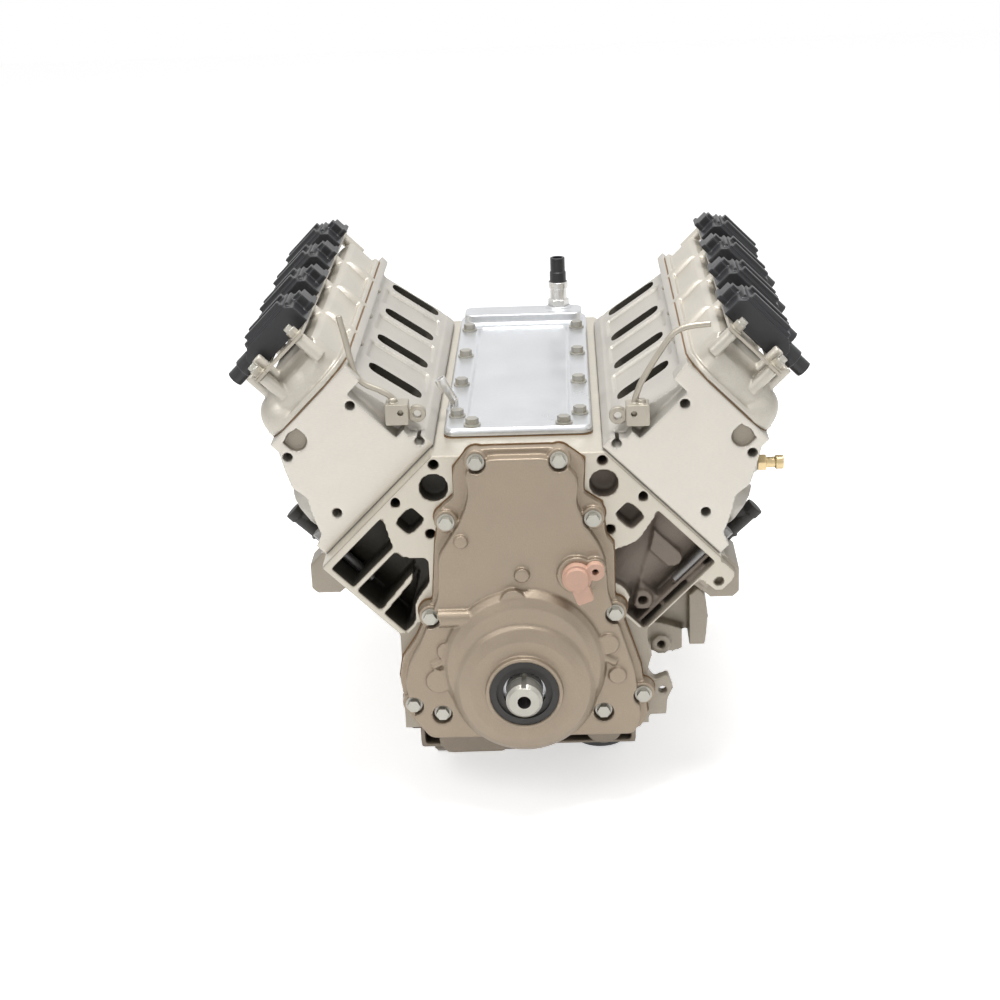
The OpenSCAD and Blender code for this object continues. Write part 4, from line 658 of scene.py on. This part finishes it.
def make_coils():
    """Each coil with its raised lid, two ridges and a collar on its tower."""
    steps = []
    for side in (-1, 1):
        place = bank(side)
        for k in range(4):
            v, y, n = COIL_V, bore_y(side, k), COIL_N
            steps += [("add", box(v + 7, v + 66, y - 23, y + 23, n + 25, n + 30, place)),
                      ("add", box(v + 10, v + 62, y - 19, y - 11, n + 29, n + 35, place)),
                      ("add", box(v + 10, v + 62, y + 11, y + 19, n + 29, n + 35, place)),
                      ("add", box(v + 2, v + 5.5, y - 20, y + 20, n + 4, n + 28, place)),
                      ("add", box(v - 12, v + 2, y - 6, y + 22, n + 3, n + 8, place)),
                      ("add", box(v - 8, v + 2, y + 2, y + 12, n + 18, n + 24, place)),
                      ("add", rod((v + 74, y - 12, n + 12), (v + 90, y - 12, n + 12), 11.5, place)),
                      ("add", rod((v + 50, y + 24, n + 10), (v + 50, y + 30, n + 10), 6, place)),
                      ("cut", box(v + 18, v + 56, y - 5, y + 5, n + 27, n + 36, place)),
                      ("cut", box(v + 66, v + 77, y - 2, y + 20, n + 22, n + 32, place))]
    piece = softened(carve(welded("ignition_coils"), steps), "coils", 0.8, 2, 0.4)
    paint_faces(piece, "plastic", [])
    standing_for(piece, "ignition_coils")


def make_oil_pan():
    """The pan, set back under the front cover, with the two bosses that hang in front of it."""
    boss = [(-95, -60), (-19, -60), (-19, -88), (-25, -97), (-86, -98), (-95, -88)]
    steps = [("cut", box(-140, 140, -5, 26, -200, -66)),
             ("add", prism(rounded(boss, 6), 3, 40)),
             ("add", rod_y(82, -69, 21, 3, 40))]
    piece = softened(carve(welded("oil_pan"), steps), "cast_oil_pan", 2.0, 2, 0.5)
    paint_faces(piece, "pan", [])
    standing_for(piece, "oil_pan")


def make_valley():
    piece = softened(welded("valley_cover"), "cast_valley_cover", 1.4, 2, 0.5)
    paint_faces(piece, "plate", [])
    standing_for(piece, "valley_cover")
    piece = softened(welded("oil_pressure_sensor"), "pressure_sensor", 0.6, 1, 0.5)
    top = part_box("oil_pressure_sensor")[0].z / MM + 30
    paint_faces(piece, "bright", [("plastic", lambda centre, normal: centre.z > top)])
    standing_for(piece, "oil_pressure_sensor")


PIPES = {
    -1: [(-125, 276), (-124, 288), (-129, 296), (-140, 303), (-156, 311), (-165, 324),
         (-171, 354), (-177, 383)],
    1: [(121, 276), (120, 290), (123, 301), (128, 313), (141, 335), (156, 357), (164, 364),
        (176, 368), (197, 370)],
}


def make_vent_pipes():
    """A block on each head's front, a clamp bolt and a bent pipe."""
    steps = []
    base = None
    for side in (-1, 1):
        y = HEAD_FRONT[side] + 11
        corners = ((-12, -11), (12, -11), (12, 11), (-12, 11))
        outline = rounded([(side * 123 + a, 279 + b) for a, b in corners], 2)
        block = prism(outline, y - 11, y + 10.9)
        steps += [("add", tube([(x, y, z) for x, z in PIPES[side]], 3.2)),
                  ("add", rod((side * 103, y + 3, 275), (side * 103, y + 10.9, 275), 9)),
                  ("add", rod((side * 127, y - 2, 289), (side * 127, y - 2, 294), 4.6, sides=6)),
                  ("cut", rod((side * 103, y, 275), (side * 103, y + 12, 275), 4.2)),
                  ("cut", rod((side * 119, y - 12, 281), (side * 119, y - 5, 281), 3))]
        if base:
            steps.insert(0, ("add", block))
        else:
            base = block
    piece = softened(carve(base, steps), "vent_pipes", 0.7, 1, 0.4)
    paint_faces(piece, "dull", [])
    standing_for(piece, "coolant_vent_pipes")


def make_temp_sensor():
    """The brass fitting that points outboard from the right head."""
    x, z = FITTING
    y = HEAD_FRONT[1] + 32
    hexagon = rod((x + 0.2, y, z), (x + 9, y, z), 9, sides=6)
    steps = [("add", rod((x + 8, y, z), (x + 20, y, z), 5.6)),
             ("add", rod((x + 19, y, z), (x + 27, y, z), 7.4))]
    piece = softened(carve(hexagon, steps), "brass_fitting", 0.6, 1, 0.5)
    paint_faces(piece, "brass", [])
    standing_for(piece, "coolant_temp_sensor")


def make_boots():
    """An elbow over each spark plug, with a straight stem and a collar."""
    steps = []
    base = None
    lean = math.radians(62)
    for side in (-1, 1):
        place = bank(side)
        for k in range(4):
            y = bore_y(side, k) + 10

            def along(t):
                return 19 + math.sin(lean) * t, y, DECK + 8 + math.cos(lean) * t

            elbow = rod(along(40), along(59), 8, place)
            stem = [("add", rod((71, y, DECK - 6), (71, y, DECK + 38), 7.6, place, 8.8)),
                    ("add", rod((71, y, DECK + 37), (71, y, DECK + 47), 10, place)),
                    ("add", rod((71, y, DECK + 8), (71, y, DECK + 11), 9.6, place)),
                    ("cut", rod(along(36), along(50.1), 5.1, place))]
            if base:
                steps.append(("add", elbow))
            else:
                base = elbow
            steps += stem
    piece = softened(carve(base, steps), "plug_boots", 0.8, 2, 0.4)
    paint_faces(piece, "rubber", [])
    standing_for(piece, "spark_plug_boots")


def make_crankshaft():
    """The crankshaft, with a chamfer on the end of its snout."""
    taper = rod((0, -77, 0), (0, -69.9, 0), 14, end_radius=19.5)
    tip = carve(rod_y(0, 0, 24, -76, -70), [("cut", taper)])
    mesh = carve(welded("crankshaft"), [("cut", tip)])
    piece = bpy.data.objects.new("crank", mesh)
    bpy.context.scene.collection.objects.link(piece)
    mesh.materials.clear()
    paint_faces(piece, "iron", [
        ("bolt", lambda centre, normal: centre.y < -10 and centre.xz.length > 9.2)])
    standing_for(piece, "crankshaft")


def make_screws():
    """Small flanged screws of the valve covers, coil brackets, rear cover and pan."""
    seats = []
    for side in (-1, 1):
        place = bank(side)
        for k in range(3):
            y = bore_y(side, k) + BORE_SPACING / 2
            seats.append((place(COVER_SCREW_V, y, RAIL + 47.4) / MM,
                          place(COVER_SCREW_V, y, RAIL + 60) / MM))
        for k in range(5):
            y = bore_y(side, 0) + (k - 0.5) * BORE_SPACING
            for v in BRACKET_POSTS_V:
                seats.append((place(v, y, COIL_N + 7.5) / MM,
                              place(v, y, COIL_N + 20) / MM))
        for k in range(5):
            seats.append((Vector((side * 124, 60 + k * 96, -74)),
                          Vector((side * 124, 60 + k * 96, -90))))
    for a in range(-100, 101, 50):
        x, z = 73 * math.sin(math.radians(a)), 73 * math.cos(math.radians(a))
        seats.append((Vector((x, 526, z)), Vector((x, 540, z))))
    mesh = bpy.data.meshes.new("screws")
    whole = bmesh.new()
    for seat, out in seats:
        up = (out - seat).normalized()
        screw = carve(rod(seat - up * 0.4, seat + up * 1.6, 5.8, sides=24),
                      [("add", rod(seat + up, seat + up * 6.3, 4.7, sides=6))])
        whole.from_mesh(screw)
    whole.to_mesh(mesh)
    whole.free()
    piece = bpy.data.objects.new("screws", mesh)
    bpy.context.scene.collection.objects.link(piece)
    edge = piece.modifiers.new("edge", "BEVEL")
    edge.width = 0.4 * MM
    edge.segments = 2
    edge.angle_limit = math.radians(35)
    paint_faces(piece, "bolt", [])
    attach(piece, BODY_OF["cover_bolts"])


def bevelled(node, width):
    """Softens the sharp edges of a node that keeps its own mesh."""
    thing = NODES[node]
    join = thing.modifiers.new("join", "WELD")
    join.merge_threshold = 0.00001
    edge = thing.modifiers.new("edge", "BEVEL")
    edge.width = width * MM
    edge.segments = 2
    edge.limit_method = "ANGLE"
    edge.angle_limit = math.radians(35)
    edge.harden_normals = True


def make_details():
    for node in ("cover_bolts", "coil_brackets", "head_bolts", "spark_plugs", "oil_filter",
                 "drain_plug", "vent_tube"):
        bevelled(node, 0.6)


# Stage

def seen_directly(tree):
    """One for camera, glossy and transmission rays, nought for rays that light the object."""
    path = tree.nodes.new("ShaderNodeLightPath")
    result = path.outputs["Is Camera Ray"]
    for kind in ("Is Glossy Ray", "Is Transmission Ray"):
        either = tree.nodes.new("ShaderNodeMath")
        either.operation = "MAXIMUM"
        tree.links.new(result, either.inputs[0])
        tree.links.new(path.outputs[kind], either.inputs[1])
        result = either.outputs[0]
    return result


def make_stage():
    """A pale floor that the engine stands on, a white surround and soft lamps."""
    material = bpy.data.materials.new("floor")
    material.use_nodes = True
    tree = material.node_tree
    shader = tree.nodes["Principled BSDF"]
    shader.inputs["Base Color"].default_value = (0.9, 0.9, 0.9, 1)
    shader.inputs["Roughness"].default_value = 0.9
    shader.inputs["Emission Color"].default_value = (1, 1, 1, 1)
    glow = spread(tree, seen_directly(tree), 0, 0.6, 0, 1)
    tree.links.new(glow, shader.inputs["Emission Strength"])
    mesh = bpy.data.meshes.new("floor")
    half = 6
    corners = [(-half, -half, 0), (half, -half, 0), (half, half, 0), (-half, half, 0)]
    mesh.from_pydata(corners, [], [(0, 1, 2, 3)])
    floor = bpy.data.objects.new("floor", mesh)
    floor.location.z = cad_box[0][2]
    floor.data.materials.append(material)
    bpy.context.scene.collection.objects.link(floor)
    studio = bpy.data.worlds.new("studio")
    studio.use_nodes = True
    tree = studio.node_tree
    tree.nodes.clear()
    background = add_node(tree, "ShaderNodeBackground", Color=(1, 1, 1, 1))
    strength = spread(tree, seen_directly(tree), 0.36, 1, 0, 1)
    tree.links.new(strength, background.inputs["Strength"])
    output = tree.nodes.new("ShaderNodeOutputWorld")
    tree.links.new(background.outputs["Background"], output.inputs["Surface"])
    bpy.context.scene.world = studio
    for name, place, size, power in (("key", (-1.5, -1.7, 2.3), 1.4, 22),
                                     ("fill", (1.9, -1.7, 1.3), 1.8, 3),
                                     ("top", (0.1, 0.0, 2.6), 1.2, 62)):
        lamp = bpy.data.lights.new(name, "AREA")
        lamp.size = size
        lamp.energy = power
        light = bpy.data.objects.new(name, lamp)
        light.location = place
        aim = Vector((0, 0.1, 0.15)) - light.location
        light.rotation_euler = aim.to_track_quat("-Z", "Y").to_euler()
        bpy.context.scene.collection.objects.link(light)


make_camera()
MATERIALS = make_materials()
dress_nodes()
make_block()
for bank_side, bank_name in ((-1, "left"), (1, "right")):
    make_head(bank_side, bank_name)
    make_valve_cover(bank_side, bank_name)
make_front_cover()
make_sensor()
make_coils()
make_oil_pan()
make_valley()
make_vent_pipes()
make_temp_sensor()
make_boots()
make_crankshaft()
make_screws()
make_details()
make_stage()
bpy.context.scene.view_settings.view_transform = "Standard"
